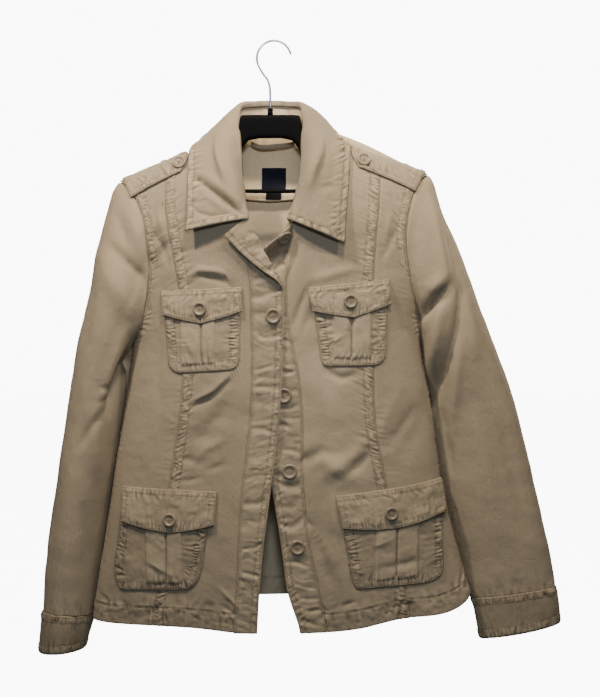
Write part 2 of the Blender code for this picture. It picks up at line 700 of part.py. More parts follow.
# x and level of the left edge, the rounded bottom and the right edge
BAGS = {
    "chest_right": (RIGHT, (-140.9, -327), (-135.9, -407), (-119.1, -422.8),
                    (-58.1, -417.8), (-43.1, -402), (-41.5, -323), -92.0),
    "chest_left": (LEFT, (48.5, -323), (59.2, -402), (68.0, -413.4),
                   (127.4, -413.2), (144.3, -396.5), (146.5, -313), 99.0),
    "lower_right": (RIGHT, (-197.0, -584), (-211.5, -682), (-199.0, -709.7),
                    (-118.5, -705.5), (-93.0, -670), (-78.5, -585), -140.0),
    "lower_left": (LEFT, (81.5, -592), (99.5, -682), (111.0, -704.5),
                   (190.1, -700.6), (222.5, -684), (221.5, -577), 159.0),
}
BAG_WALL = 1.2


def bag(entry):
    side, tl, l1, l2, r2, r1, tr, fold = entry
    lift = float(side == RIGHT)
    corners = np.array([tl, tr], float)
    low = np.array([l1, l2, r2, r1], float)
    c_low = np.array([0, (l2[0] - l1[0]) / (r1[0] - l1[0]),
                      (r2[0] - l1[0]) / (r1[0] - l1[0]), 1.0])
    c_mid = (fold - l1[0]) / (r1[0] - l1[0])
    columns = [0, c_low[1], c_mid - 0.17, c_mid, c_mid + 0.17, c_low[2], 1]
    if abs(l1[0]) > 180 or abs(r1[0]) > 180:
        columns += [0.24] if side == RIGHT else [0.80, 0.91]
    columns.sort()
    points = []
    for r in np.linspace(0, 1, 6):
        row = []
        for c in columns:
            top = corners[0] + (corners[1] - corners[0]) * c
            foot = np.array([np.interp(c, c_low, low[:, k]) for k in (0, 1)])
            p = top + (foot - top) * r
            plump = 1.2 * math.exp(-(((c - c_mid) / 0.17) ** 2 - 1) ** 2 * 3)
            puff = 1.6 * math.sin(math.pi * c) ** 0.7 * math.sin(math.pi * min(r, 0.92))
            high = LAY + BAG_WALL + (plump + puff) * (0.3 + 0.7 * math.sin(math.pi * r))
            high += 2.4 * max(0, (abs(p[0]) - 180) / 40)
            row.append(laid(front_bed, *p, high, lift=lift))
        points.append(row)
    return np.array(points)


def flap(entry):
    side, tl, tr, bl, br, tip = (entry[0],) + tuple(np.array(q) for q in entry[1:])
    lift = float(side == RIGHT)
    c_tip = (tip[0] - bl[0]) / (br[0] - bl[0])
    points = []
    for r, high in ((0, 1.9), (0.16, 4.4), (0.5, 6.2), (1.0, 7.4)):
        row = []
        for c in (0, c_tip * 0.25, c_tip * 0.6, c_tip, c_tip + (1 - c_tip) * 0.4,
                  c_tip + (1 - c_tip) * 0.75, 1):
            top = tl + (tr - tl) * c
            foot = bl + (tip - bl) * c / c_tip if c < c_tip else (
                tip + (br - tip) * (c - c_tip) / (1 - c_tip))
            p = top + (foot - top) * r
            edge = 2.8 * max(0, (abs(p[0]) - 150) / 60)
            row.append(laid(front_bed, *p, high + edge, lift=lift))
        points.append(row)
    return np.array(points)


flap_beds = {}
for place in FLAPS:
    cloth(f"pocket_{place}", bag(BAGS[place]), wall=BAG_WALL)
    cover = flap(FLAPS[place])
    cloth(f"flap_{place}", cover, wall=1.4)
    flap_beds[f"button_{place}"] = bed_of(cover)


sleeve_tops = [np.concatenate([rings[:5], rings[:5, :1]], 1) for rings in sleeves]
shoulder_bed = bed_of(*fronts, back, *sleeve_tops)


def over_shoulder(x, run, high):
    """Point above the shoulder at a run along the cloth from the shoulder line."""
    face = FRONT if run > 0 else BACK
    z = float(ridge(x)) - 110 * np.linspace(0, 1, 400) ** 2 * 0.8
    y = depth(x + 0 * z, z, face)
    y[0] = 0
    path = np.concatenate([[0], np.cumsum(np.hypot(np.diff(y), np.diff(z)))])
    at_y, at_z = np.interp(abs(run), path, y), np.interp(abs(run), path, z)
    e = 0.8
    y2, z2 = np.interp(abs(run) + e, path, y), np.interp(abs(run) + e, path, z)
    ny, nz = (z2 - at_z), -(y2 - at_y)
    if run <= 0:
        ny, nz = -ny, -nz
    size = math.hypot(ny, nz)
    nx = (float(ridge(x - 1)) - float(ridge(x + 1))) / 2 * max(nz / size, 0)
    return rest_on(shoulder_bed, (x, at_y, at_z), (nx, ny / size, nz / size), high)


# side, x at the neck end, x at the sleeve end
STRAPS = {"right": (-113.5, -197.5), "left": (101.0, 197.0)}
STRAP_FRONT, STRAP_BACK = 40.0, -8.0
for word, (x_in, x_out) in STRAPS.items():
    points = []
    for run in np.linspace(STRAP_BACK, STRAP_FRONT, 7):
        off = (run - 16) / 24
        x_0 = x_in + (x_out - x_in) * 0.11 * off ** 2
        x_1 = x_out - (x_out - x_in) * 0.16 * max(run, 0) / 40
        row = [over_shoulder(x, run, 3.0) for x in np.linspace(x_0, x_1, 6)]
        points.append(row)
    points = np.array(points)
    cloth(f"epaulette_{word}", points if word == "left" else points[:, ::-1],
          wall=1.6)

# --- buttons ----------------------------------------------------------------------
# radius, height; profile as shares of both
BUTTON = ((0.0, 0.52), (0.52, 0.50), (0.70, 0.92), (0.86, 1.0), (1.0, 0.62),
          (0.94, 0.06), (0.0, 0.0))


def button(name, centre, normal, radius, high):
    mesh = bpy.data.meshes.new(name)
    verts = [(r * radius * MM, 0, h * high * MM) for r, h in BUTTON]
    mesh.from_pydata(verts, [(i, i + 1) for i in range(len(verts) - 1)], [])
    mesh.materials.append(material(name, (0.40, 0.33, 0.225), 0.45))
    made = bpy.data.objects.new(name, mesh)
    jacket.objects.link(made)
    turn = made.modifiers.new("turn", "SCREW")
    turn.steps = turn.render_steps = 12
    turn.use_merge_vertices = True
    turn.merge_threshold = 0.00005
    turn.use_normal_calculate = True
    z = normal / np.linalg.norm(normal)
    x = np.cross([0, 0, 1.0], z)
    x = x / np.linalg.norm(x)
    y = np.cross(z, x)
    made.matrix_world = Matrix([(x[k], y[k], z[k], centre[k] * MM) for k in range(3)]
                               + [(0, 0, 0, 1)])
    return made


# name, x, level, radius, height over what it is sewn to, lifted with the right front
BUTTONS = (
    ("button_front_0", 14.0, -249.0, 10.0, 0.4, 0),
    ("button_front_1", -0.6, -348.1, 10.0, 1.5, 1),
    ("button_front_2", 13.0, -450.3, 10.0, 0.4, 0),
    ("button_front_3", 20.0, -548.4, 10.0, 0.4, 0),
    ("button_front_4", 30.2, -647.6, 10.0, 0.4, 0),
    ("button_chest_right", -92.2, -339.5, 9.0, 0.5, 1),
    ("button_chest_left", 96.3, -329.9, 9.0, 0.5, 0),
    ("button_lower_right", -133.5, -612.0, 9.0, 0.5, 1),
    ("button_lower_left", 150.3, -604.1, 9.0, 0.5, 0),
)
flap_beds["button_front_1"] = bed_of(right_edge)
for name, x, z, radius, over, lift in BUTTONS:
    bed = flap_beds.get(name, front_bed)
    base = laid(bed, x, z, over, lift=lift)
    tip = laid(bed, x, z, over + 1, lift=lift)
    button(name, base, tip - base, radius, 3.2)
for name, x, run in (("button_shoulder_right", -119.5, 19), ("button_shoulder_left", 115, 19)):
    base, tip = over_shoulder(x, run, 3.6), over_shoulder(x, run, 4.6)
    button(name, base, tip - base, 9.0, 3.0)

# --- label, size tag and hanging loop ------------------------------------------------
for name, x0, x1, top, low, high, colour in (
        ("label", -17.2, 14.8, -158.2, -187.2, 5.4, (0.012, 0.016, 0.05)),
        ("size_tag", -12.0, 8.5, -188.2, -199.5, 5.4, (0.01, 0.01, 0.014))):
    x = np.linspace(x0, x1, 3)[None, :] + np.zeros((2, 1))
    z = np.array([[top], [low]]) + np.zeros((1, 3))
    p = [[laid(back_bed, x[r, c], z[r, c], -high, BACK) for c in range(3)]
         for r in range(2)]
    cloth(name, np.array(p), colour, wall=0.5, offset=1.0)

loop = []
for t in np.linspace(-1, 1, 9):
    x, z = CENTRE + 2.3 + 28.2 * t, -119.5 - 10.5 * (1 - abs(t) ** 2.4)
    y = laid(back_bed, x, z, -7.2, BACK)[1] - 3.0 * (1 - t * t)
    loop.append([(x, y, z + 3), (x, y, z - 3)])
cloth("hanging_loop", np.array(loop), KHAKI_SHADE, wall=1.4, offset=0.0)


# --- hanger ---------------------------------------------------------------------------
def tube(name, path, radius, colour, rough, metal):
    """Bar of round section along a plane path of points."""
    curve = bpy.data.curves.new(name, "CURVE")
    curve.dimensions = "3D"
    curve.bevel_depth = radius * MM
    curve.bevel_resolution = 2
    curve.use_fill_caps = True
    spline = curve.splines.new("POLY")
    spline.points.add(len(path) - 1)
    for point, (x, y, z) in zip(spline.points, path):
        point.co = (x * MM, y * MM, z * MM, 1)
    curve.materials.append(material(name, colour, rough, metal))
    made = bpy.data.objects.new(name, curve)
    jacket.objects.link(made)
    return made


WIRE = 1.5               # radius of the hook wire
BEND = 22.0              # radius of the hook to the middle of the wire
a = np.radians(np.linspace(12, 208, 17))
path = [(BEND * math.cos(q), 0, WIRE - BEND + BEND * math.sin(q)) for q in a]
path += [(-14.6, 0, -39.5), (-8.6, 0, -47.5), (-5.6, 0, -57.0), (-5.0, 0, -70.0),
         (-5.0, 0, -84.0)]
tube("hanger_hook", path, WIRE, (0.55, 0.55, 0.56), 0.22, 1.0)

# distance from the middle, top and low level of the arms, half depth; beyond
# the neck the top lies a step under the shoulder line
ARMS = np.array([
    (0, -92.5, -122.0, 7.5), (14, -92.5, -122.0, 7.5), (28, -92.6, -125.0, 7.5),
    (37, -94.0, -136.0, 7.5), (43, -120.5, -146.0, 6.5), (56, -133.5, -153.5, 6.5),
    (68, -133.0, -158.0, 8.0), (104, -146.0, -171.0, 8.5), (150, -164.0, -187.6, 8.5),
    (176, -175.0, -195.0, 8.0), (182, -179.0, -193.5, 6.0),
], float)
UNDER_SHOULDER = 5.6


def hanger_body():
    """Arms lofted from eight-sided sections that follow the shoulder line."""
    sections = []
    for side in (RIGHT, LEFT):
        for a, top, low, deep in (ARMS[::-1] if side == RIGHT else ARMS[1:]):
            x = CENTRE + side * a
            if a > 60:
                top = float(ridge(x)) - UNDER_SHOULDER - (4 if a > 180 else 0)
            k = deep * 0.45
            ring = [(x, -k, top), (x, -deep, top - 4), (x, -deep, low + 4), (x, -k, low),
                    (x, k, low), (x, deep, low + 4), (x, deep, top - 4), (x, k, top)]
            sections.append(ring)
    rings = np.array(sections, float) * MM
    mesh = bpy.data.meshes.new("hanger_body")
    built = bmesh.new()
    loops = [[built.verts.new(p) for p in ring] for ring in rings]
    for one, two in zip(loops, loops[1:]):
        for i in range(8):
            j = (i + 1) % 8
            built.faces.new((one[i], one[j], two[j], two[i]))
    built.faces.new(loops[0][::-1])
    built.faces.new(loops[-1])
    bmesh.ops.recalc_face_normals(built, faces=built.faces)
    built.to_mesh(mesh)
    built.free()
    mesh.materials.append(material("hanger_body", (0.012, 0.012, 0.014), 0.38))
    made = bpy.data.objects.new("hanger_body", mesh)
    jacket.objects.link(made)
    return made


hanger_body()

BOSS = 3.6               # radius of the collar that holds the hook
bpy.ops.mesh.primitive_cylinder_add(vertices=16, radius=BOSS * MM, depth=7.4 * MM,
                                    location=(CENTRE * MM, 0, -88.4 * MM))
boss = bpy.context.object
boss.name = "hanger_boss"
for old in list(boss.users_collection):
    old.objects.unlink(boss)
jacket.objects.link(boss)
boss.data.materials.append(material("hanger_boss", (0.012, 0.012, 0.014), 0.38))

BAR_LEVEL = -190.0
path = [(CENTRE - 148.6, 0, BAR_LEVEL), (CENTRE + 148.6, 0, BAR_LEVEL)]
tube("hanger_bar", path, 2.6, (0.012, 0.012, 0.014), 0.38, 0.0)
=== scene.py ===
import math

import bmesh
import bpy
import numpy as np
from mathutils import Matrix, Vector


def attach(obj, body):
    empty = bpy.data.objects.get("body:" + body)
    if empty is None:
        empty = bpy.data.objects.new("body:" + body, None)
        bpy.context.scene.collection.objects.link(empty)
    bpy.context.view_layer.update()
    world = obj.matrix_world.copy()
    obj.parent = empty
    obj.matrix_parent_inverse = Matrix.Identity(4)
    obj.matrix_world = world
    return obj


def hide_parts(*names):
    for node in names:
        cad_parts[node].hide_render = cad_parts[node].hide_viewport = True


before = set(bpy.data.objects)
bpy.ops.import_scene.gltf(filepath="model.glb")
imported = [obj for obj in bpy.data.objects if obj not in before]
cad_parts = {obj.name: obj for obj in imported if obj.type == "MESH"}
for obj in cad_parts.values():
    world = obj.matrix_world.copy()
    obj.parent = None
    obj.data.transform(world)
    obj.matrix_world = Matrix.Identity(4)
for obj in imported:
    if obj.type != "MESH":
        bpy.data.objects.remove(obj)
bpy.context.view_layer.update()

# --- Form of the body ---------------------------------------------------------------
# The jacket is cut from washed cotton twill and hangs from its shoulders. The back and
# the fronts share one form, given here in millimetres: x runs to the wearer's left, y to
# the back and z up from the inside of the hook.
MM = 0.001
CENTRE = -5.0
RIGHT, LEFT = -1, 1
FRONT, BACK = -1, 1
ROUNDING = 2.5           # exponent of the section
SHOULDER_DROP = {FRONT: 90.0, BACK: 70.0}        # height over which it closes to the shoulders
DRAPE_HEIGHT, SOFTNESS = 1.25, 0.8               # factor of the folds, height of the crumple

# level, half width right, half width left, front depth, back depth
BODY = np.array([
    (-765, 241.5, 277, 58, 52), (-723, 235.5, 266.6, 59, 52), (-668, 226, 251, 59, 51),
    (-616, 217.5, 236.5, 59, 50), (-572, 210.5, 226, 58, 50), (-531, 203.6, 220, 57, 49),
    (-474, 194, 212, 56, 48), (-437, 188, 205, 56, 48), (-391, 182, 196.5, 55, 47),
    (-300, 192, 203, 53, 45), (-176, 207, 217, 48, 39), (-120, 210, 220, 44, 35),
    (-60, 212, 222, 40, 33)], float)
# distance from the middle, level of the shoulder line right and left
RIDGE = np.array([
    (0, -58, -58), (30, -66, -65), (48, -96, -93), (62, -122, -118), (104, -140, -135),
    (150, -158.6, -150.3), (196, -177.2, -165.2), (215, -185, -171.5), (280, -212, -193)], float)
# x, level of the hem along the front and along the back
HEM = np.array([
    (-247, -760, -760), (-163, -756, -752), (-22, -761, -747), (32, -763, -746),
    (112, -758, -740), (162, -747, -736), (227, -741, -731), (262, -727, -727)], float)
# level: how far the right front stands before the left one at its free edge
LIFT = np.array([
    (-765, 9), (-690, 8.5), (-600, 8), (-540, 6.5), (-450, 5.8), (-400, 5),
    (-348, 3.4), (-310, 4.6), (-236, 9), (-180, 6), (-120, 2)], float)
# face: half breadth (below 0 a sharp fold), height (below 0 a trough), then x and level
# along the fold
DRAPE = {
    FRONT: (
        (9, -4, (-196, -250), (-150, -290)), (10, -9, (236, -315), (186, -352)),
        (11, 5, (222, -335), (200, -440)), (14, -3, (199, -466), (160, -545)),
        (9, 0.8, (-150, -300), (-60, -288)), (16, 3, (-205, -560), (-190, -730)),
        (18, -3.5, (190, -480), (240, -720)), (3, -1.4, (-152, -201), (-151, -233)),
        (4, -1.8, (-154, -240), (-141, -262), (-133, -286)), (5, 2, (-147, -222), (-137, -250)),
        (3, -1.4, (-143, -206), (-136, -232)), (4, 1.6, (150, -215), (143, -250)),
        (4, -1.7, (160, -232), (146, -262), (136, -280)), (6, -2, (150, -330), (168, -372)),
        (-3, 2.2, (46, -622), (62, -640), (78, -668)), (3, -1.8, (40, -606), (50, -630), (54, -660)),
        (4, 1.8, (70, -650), (84, -690)), (4, -1.8, (60, -668), (76, -700)),
        (12, 3.5, (45, -520), (80, -545), (110, -560)), (5, 1.5, (-60, -505), (-88, -520), (-108, -545)),
        (4, -1.3, (-58, -535), (-84, -548)), (4, 2.2, (-108, -302), (-95, -290), (-72, -292), (-42, -302)),
        (3.5, -1.6, (-103, -306), (-94, -298), (-75, -302), (-52, -309)),
        (6, -2.2, (-148, -280), (-129, -255)), (7, 1.6, (-158, -281), (-144, -253), (-136, -230)),
        (-4, 3.2, (-39, -410), (-58, -426), (-77, -444), (-100, -456), (-113, -468)),
        (5, -2.6, (-44, -418), (-62, -436), (-82, -454), (-104, -465)),
        (10, -2.6, (-58, -456), (-69, -477), (-91, -499)), (9, -2.2, (-104, -508), (-74, -502)),
        (7, -1.6, (-116, -533), (-96, -538)), (3, -1.3, (-117, -564), (-95, -557)),
        (5, -1.7, (-149, -374), (-148, -490)), (-3, 2, (-71, -700), (-54, -717), (-44, -729)),
        (3, -1.5, (-67, -724), (-49, -737)), (4, -1.3, (-175, -748), (-146, -727)),
        (4, 2.6, (23, -253), (17, -280), (14, -307)), (5, -1.8, (30, -256), (21, -297)),
        (6, 2, (46, -304), (71, -297), (109, -287)), (5, -2.8, (46, -309), (37, -328), (26, -360)),
        (6, -1.7, (52, -340), (36, -365)), (5, -2.4, (67, -419), (86, -429), (106, -424)),
        (16, 2.2, (33, -404), (65, -450), (91, -495)), (7, -3.2, (34, -537), (60, -524), (75, -527)),
        (9, 2.6, (59, -559), (100, -531), (121, -508)), (6, -2.9, (95, -554), (123, -526)),
        (7, -3, (150, -516), (180, -471)), (6, 1.8, (134, -509), (152, -464), (165, -439)),
        (-3, -1.6, (74, -627), (85, -646)), (4, -1.8, (49, -618), (58, -632), (62, -664)),
        (3, -1.5, (89, -726), (107, -721)), (3, -1.5, (157, -729), (180, -725)),
        (4, -1.3, (57, -747), (72, -731)), (3, -1.4, (149, -191), (157, -234), (163, -268))),
    BACK: (
        (12, 3, (-40, -190), (-20, -420)), (12, -3, (30, -200), (20, -470)),
        (15, 3.5, (95, -330), (60, -600)), (15, -3, (-100, -320), (-75, -560)),
        (9, -2.6, (-150, -300), (-70, -380)), (9, -2.6, (150, -290), (80, -370)),
        (16, 4, (-140, -520), (-170, -740)), (18, 4, (120, -540), (160, -720)),
        (14, -4, (-60, -560), (-80, -745)), (14, 4, (10, -520), (15, -745)),
        (7, 2, (-120, -440), (-40, -470)), (7, 2, (125, -430), (50, -455))),
}


def flow(x, xs, ys):
    """Smooth curve through the stations, level beyond both ends."""
    xs, ys = np.asarray(xs, float), np.asarray(ys, float)
    if xs[0] > xs[-1]:
        xs, ys = xs[::-1], ys[::-1]
    step = np.diff(xs)
    rise = np.diff(ys) / step
    inner = (rise[:-1] * step[1:] + rise[1:] * step[:-1]) / (step[:-1] + step[1:])
    slope = np.concatenate([[rise[0]], inner, [rise[-1]]])
    x = np.clip(x, xs[0], xs[-1])
    i = np.clip(np.searchsorted(xs, x) - 1, 0, len(step) - 1)
    t = (x - xs[i]) / step[i]
    return (ys[i] * (1 + 2 * t) * (1 - t) ** 2 + slope[i] * step[i] * t * (1 - t) ** 2
            + ys[i + 1] * t * t * (3 - 2 * t) - slope[i + 1] * step[i] * t * t * (1 - t))


def ease(t):
    t = np.clip(t, 0, 1)
    return t * t * (3 - 2 * t)


def unit(v):
    """The same directions, each one long."""
    return v / np.linalg.norm(v, axis=-1, keepdims=True)


def length_along(path):
    """Length along a line of points, from 0 at its first point."""
    return np.concatenate([[0], np.cumsum(np.linalg.norm(np.diff(path, axis=0), axis=1))])


TAPER = 0.35             # height of a fold at its ends, as a share of that in its middle


def fold_relief(x, z, table):
    """Height of folds that run along lines; a negative half breadth makes a sharp one."""
    x, z = np.broadcast_arrays(np.asarray(x, float), np.asarray(z, float))
    total = np.zeros(x.shape)
    for broad, high, *path in table:
        path = np.array(path, float)
        spans = np.linalg.norm(np.diff(path, axis=0), axis=1)
        start = np.concatenate([[0], np.cumsum(spans)])
        best, place = np.full(x.shape, 1e9), np.zeros(x.shape)
        for (x0, z0), (x1, z1), begin, span in zip(path, path[1:], start, spans):
            dx, dz = x1 - x0, z1 - z0
            t = np.clip(((x - x0) * dx + (z - z0) * dz) / (span * span), 0, 1)
            away = np.hypot(x - x0 - t * dx, z - z0 - t * dz)
            place = np.where(away < best, (begin + t * span) / start[-1], place)
            best = np.minimum(best, away)
        off = best / abs(broad)
        shape = np.exp(-off ** 2) if broad > 0 else np.exp(-off ** 1.2)
        total = total + high * shape * (TAPER + (1 - TAPER) * np.sin(math.pi * place))
    return total


def grain(u, v, seed):
    """Smooth random height from -1 to 1 over two coordinates, in steps of one."""
    table = np.random.default_rng(seed).uniform(-1, 1, (97, 89))
    u, v = np.broadcast_arrays(np.asarray(u, float), np.asarray(v, float))
    i, j = np.floor(u).astype(int), np.floor(v).astype(int)
    a, b = ease(u - i), ease(v - j)
    one = table[i % 97, j % 89] * (1 - a) + table[(i + 1) % 97, j % 89] * a
    two = table[i % 97, (j + 1) % 89] * (1 - a) + table[(i + 1) % 97, (j + 1) % 89] * a
    return one * (1 - b) + two * b


def crumple(u, v, seed, high):
    """Uneven softness of washed cloth over two lengths in millimetres."""
    bent = u + 14 * grain(u / 60, v / 60, seed)
    return high * (grain(bent / 46, v / 34, seed + 1) + 0.55 * grain(bent / 21, v / 17, seed + 2)
                   + 0.28 * grain(u / 9, v / 8, seed + 3))


quarter = np.linspace(0, math.pi / 2, 721)
across, deep = np.sin(quarter) ** (2 / ROUNDING), np.cos(quarter) ** (2 / ROUNDING)
girth = np.concatenate([[0], np.cumsum(np.hypot(np.diff(across) * 200, np.diff(deep) * 55))])
GIRTH = np.stack([girth / girth[-1], across, deep])     # quarter section: share, across, deep


def half(side, z):
    return flow(z, BODY[:, 0], BODY[:, 1 if side == RIGHT else 2])


def ridge(x):
    a = x - CENTRE
    right = np.interp(np.abs(a), RIDGE[:, 0], RIDGE[:, 1])
    left = np.interp(np.abs(a), RIDGE[:, 0], RIDGE[:, 2])
    return np.where(a < 0, right, left)


def hem(x, face):
    return flow(x, HEM[:, 0], HEM[:, 1 if face == FRONT else 2])


def depth(x, z, face, lift=0.0):
    """y of the body form in front view; lift 1 adds the stand of the right front."""
    side = np.where(x < CENTRE, RIGHT, LEFT)
    w = np.where(side == RIGHT, half(RIGHT, z), half(LEFT, z))
    u = np.clip(np.abs(x - CENTRE) / w, 0, 1)
    v = np.interp(u, GIRTH[1], GIRTH[2])
    d = flow(z, BODY[:, 0], BODY[:, 3 if face == FRONT else 4])
    t = np.clip((ridge(x) - z) / SHOULDER_DROP[face], 0, 1)
    top = np.sqrt(1 - (1 - t) ** 2)
    soft = DRAPE_HEIGHT * fold_relief(x, z, DRAPE[face]) + crumple(x, z, 3 + face, SOFTNESS)
    y = face * (d * v * top + soft * v * top)
    if face == FRONT:
        y = y - lift * flow(z, LIFT[:, 0], LIFT[:, 1]) * ease((x + 118) / 82) * top
        below = (x + 12) * 0.63 - (z + 263) * 0.777       # from the top edge of the left front
        on = (1 - lift) * ease((27 - x) / 16) * ease((x + 34) / 16)
        y = y - on * (11 * np.exp(-(below / 8) ** 2) - 12 * np.exp(-((below - 19) / 12) ** 2))
    return y


def skin(side, face, s, z, lift=0.0):
    """Point of the body form at girth share s and level z."""
    w = half(side, z)
    x = CENTRE + side * w * np.interp(s, GIRTH[0], GIRTH[1])
    v = np.interp(s, GIRTH[0], GIRTH[2])
    seen = np.interp(np.clip(np.abs(x - CENTRE) / w, 0, 1), GIRTH[1], GIRTH[2])
    y = depth(x, z, face, lift) * v / np.maximum(seen, 1e-6)
    return np.stack([x, y, z + 0 * x], -1)


def girth_at(side, x, z):
    return np.interp(np.abs(x - CENTRE) / half(side, z), GIRTH[1], GIRTH[0])


# level, x of the armhole seam on the front and on the back
ARMHOLE = {
    RIGHT: np.array([
        (-177, -200.5, -200.5), (-184, -190, -194), (-194, -181, -188),
        (-212, -171, -182), (-257, -161.4, -176), (-291, -158.9, -175),
        (-330, -163.3, -177), (-360, -171.5, -180), (-380, -179.8, -183.8),
        (-391, -184.6, -185.6), (-396, -187.3, -187.3)], float),
    LEFT: np.array([
        (-168, 199.5, 199.5), (-175, 190, 193), (-186, 182, 187), (-210, 173.5, 180),
        (-259, 168.7, 175), (-284, 172, 175), (-310, 178, 178), (-348, 186, 184),
        (-370, 189.3, 188), (-383, 191.4, 190.5), (-390, 192, 192)], float),
}


def arm_edge(side, face, steps):
    """Points down the armhole seam, at shares of its length from the shoulder tip."""
    table = ARMHOLE[side]
    z = np.linspace(table[0, 0], table[-1, 0], 480)
    x = flow(z, table[:, 0], table[:, 1 if face == FRONT else 2])
    p = np.stack([x, depth(x, z, face), z], -1)
    p[0, 1] = p[-1, 1] = 0
    run = length_along(p)
    t = run[-1] * steps
    return np.stack([np.interp(t, run, p[:, k]) for k in range(3)], -1)


def arm_girth(side, face, z):
    table = ARMHOLE[side]
    x = flow(z, table[:, 0], table[:, 1 if face == FRONT else 2])
    return np.where(z <= table[-1, 0] + 0.01, 1.0, girth_at(side, x, z))


def outer_levels(side, face, arm_rows, low_rows):
    """Levels down the armhole seam, then down the side seam to the hem."""
    upper = arm_edge(side, face, np.linspace(0, 1, arm_rows + 1))[:, 2]
    low = hem(CENTRE + side * half(side, -740), face)
    t = np.linspace(0, 1, low_rows + 1)[1:]
    return np.concatenate([upper, upper[-1] + (low - upper[-1]) * t])


def spread(levels, top, bottom):
    """The same rhythm of rows between another top and bottom."""
    t = (levels - levels[0]) / (levels[-1] - levels[0])
    return top + (bottom - top) * t


# --- Twill, relief and thread ----------------------------------------------------------
# All the cloth is one khaki cotton twill, washed until every topstitched seam has drawn
# up into short ribs. The thread is cotton of nearly the same colour.
STITCH_STEP = 3.4            # from one stitch to the next
THREAD_STAND = 0.12          # how far the middle of a stitch stands over the cloth
NO_ROW = (900.0,)            # for a band without stitches: a row far off the cloth
TWO_ROWS = (2.0, 8.5)        # distances of the rows from the edge they hold
HEM_TURN = 25.0              # the same for the one row of the hem


def runs(p):
    """Lengths over a grid of points from its first and last column, first and last row."""
    across = np.linalg.norm(np.diff(p, axis=1), axis=2)
    across = np.concatenate([np.zeros((len(p), 1)), np.cumsum(across, 1)], 1)
    down = np.linalg.norm(np.diff(p, axis=0), axis=2)
    down = np.concatenate([np.zeros((1, p.shape[1])), np.cumsum(down, 0)], 0)
    return across, across[:, -1:] - across, down, down[-1:] - down


def grid_normals(p, closed=False):
    """Unit normals of a grid, outward for rows that go down and columns to the left."""
    if closed:
        across = np.roll(p, -1, 1) - np.roll(p, 1, 1)
    else:
        across = np.gradient(p, axis=1)
    n = np.cross(np.gradient(p, axis=0), across)
    return n / np.maximum(np.linalg.norm(n, axis=-1, keepdims=True), 1e-9)


def creases(along, away, seed, step, high, broad, slant=0.25):
    """Uneven creases that run across a band, each with a puff beside it."""
    rng = np.random.default_rng(seed)
    total, wide, place = np.zeros(along.shape), away.max(), rng.uniform(0.2, 1) * step
    while place < along.max():
        tilt, reach = rng.uniform(-slant, slant), rng.uniform(0.4, 1.0) * wide
        start = rng.choice([0.0, wide - reach])
        off = along - place - tilt * (away - wide / 2) - 1.3 * np.sin(away / 6 + place)
        window = ease((away - start + 3) / 5) * ease((start + reach - away + 3) / 5)
        b = broad * rng.uniform(0.7, 1.4)
        total += high * rng.uniform(0.4, 1.2) * window * (
            0.75 * np.exp(-((off - 1.7 * b) / (1.6 * b)) ** 2) - np.exp(-(off / b) ** 2))
        place += step * rng.uniform(0.5, 1.5)
    return total


def drawn(away, along, seed, rows, band=None, high=1.0, pitch=4.3, drag=0.7, plump=0.5,
          groove=0.5):
    """Relief beside a topstitched edge, from the distance to the edge and the run along
    it: the plump plies, the grooves under the thread, the short ribs that it draws up
    between its rows and the longer wrinkles beyond."""
    first, last = band or (rows[0], rows[-1])
    middle, wide = (first + last) / 2, (last - first) / 2 + 1.0
    inside = np.exp(-((away - middle) / wide) ** 4)
    phase = along / pitch + 1.3 * grain(along / 19, away / 60, seed)
    phase = phase + 0.26 * grain(along / 6, away / 5, seed + 1)
    strong = 0.62 + 0.5 * grain(along / 8, away / 12, seed + 2)
    bumps = grain(along / 3.4, away / 4.2, seed + 5)
    bumps = bumps + 0.6 * grain(along / 2.3, away / 2.6, seed + 6)
    ribs = high * ((1.6 * np.abs(np.sin(math.pi * phase)) - 1.0) * strong + 0.42 * bumps) * inside
    far = np.exp(-np.abs(away - last - 2) / 9.0) * ease((away - first) / 3 + 0.3)
    phase = along / (1.9 * pitch) + 0.9 * grain(along / 13, away / 25, seed + 3)
    lines = drag * (1.8 * np.abs(np.sin(math.pi * phase)) - 1.15)
    lines = lines * far * np.clip(0.5 + 0.8 * grain(along / 14, away / 9, seed + 4), 0, 1.2)
    beat = along / STITCH_STEP + 0.4 * grain(along / 9, away / 9, seed + 7)
    grooves = sum(np.exp(-((away - r) / 1.2) ** 2) for r in rows) * (
        0.75 + 0.45 * np.cos(2 * math.pi * beat))
    body = plump * ease((last + 2.5 - away) / 3) * ease(away / 1.2 + 0.2)
    return body + ribs + lines - groove * grooves, ribs / 0.8 + 0.8 * lines - 0.8 * grooves


def hem_ribs(low, along, seed, high, drag):
    """Relief and wear of a hem that is turned up and held by one row above its edge."""
    return drawn(low, along, seed, rows=(HEM_TURN,), band=(4, HEM_TURN + 2), high=high, drag=drag,
                 pitch=8.5, groove=1.3)


def shader_group(name, inputs, outputs):
    group = bpy.data.node_groups.new(name, "ShaderNodeTree")
    for label, kind, value in inputs:
        socket = group.interface.new_socket(label, in_out="INPUT", socket_type=kind)
        if value is not None:
            socket.default_value = value
    for label, kind in outputs:
        group.interface.new_socket(label, in_out="OUTPUT", socket_type=kind)
    start, end = group.nodes.new("NodeGroupInput"), group.nodes.new("NodeGroupOutput")
    return group, start, end


def wire(tree, *links):
    """Links from a node and its output to a node and its input."""
    for node_from, out, node_to, into in links:
        tree.links.new(node_from.outputs[out], node_to.inputs[into])


def dial(made, inputs):
    """Values for the sockets of a node, by name or number."""
    for key, value in inputs.items():
        made.inputs[key].default_value = value


def node(tree, kind, inputs=(), **settings):
    made = tree.nodes.new(kind)
    for key, value in settings.items():
        setattr(made, key, value)
    dial(made, dict(inputs))
    return made


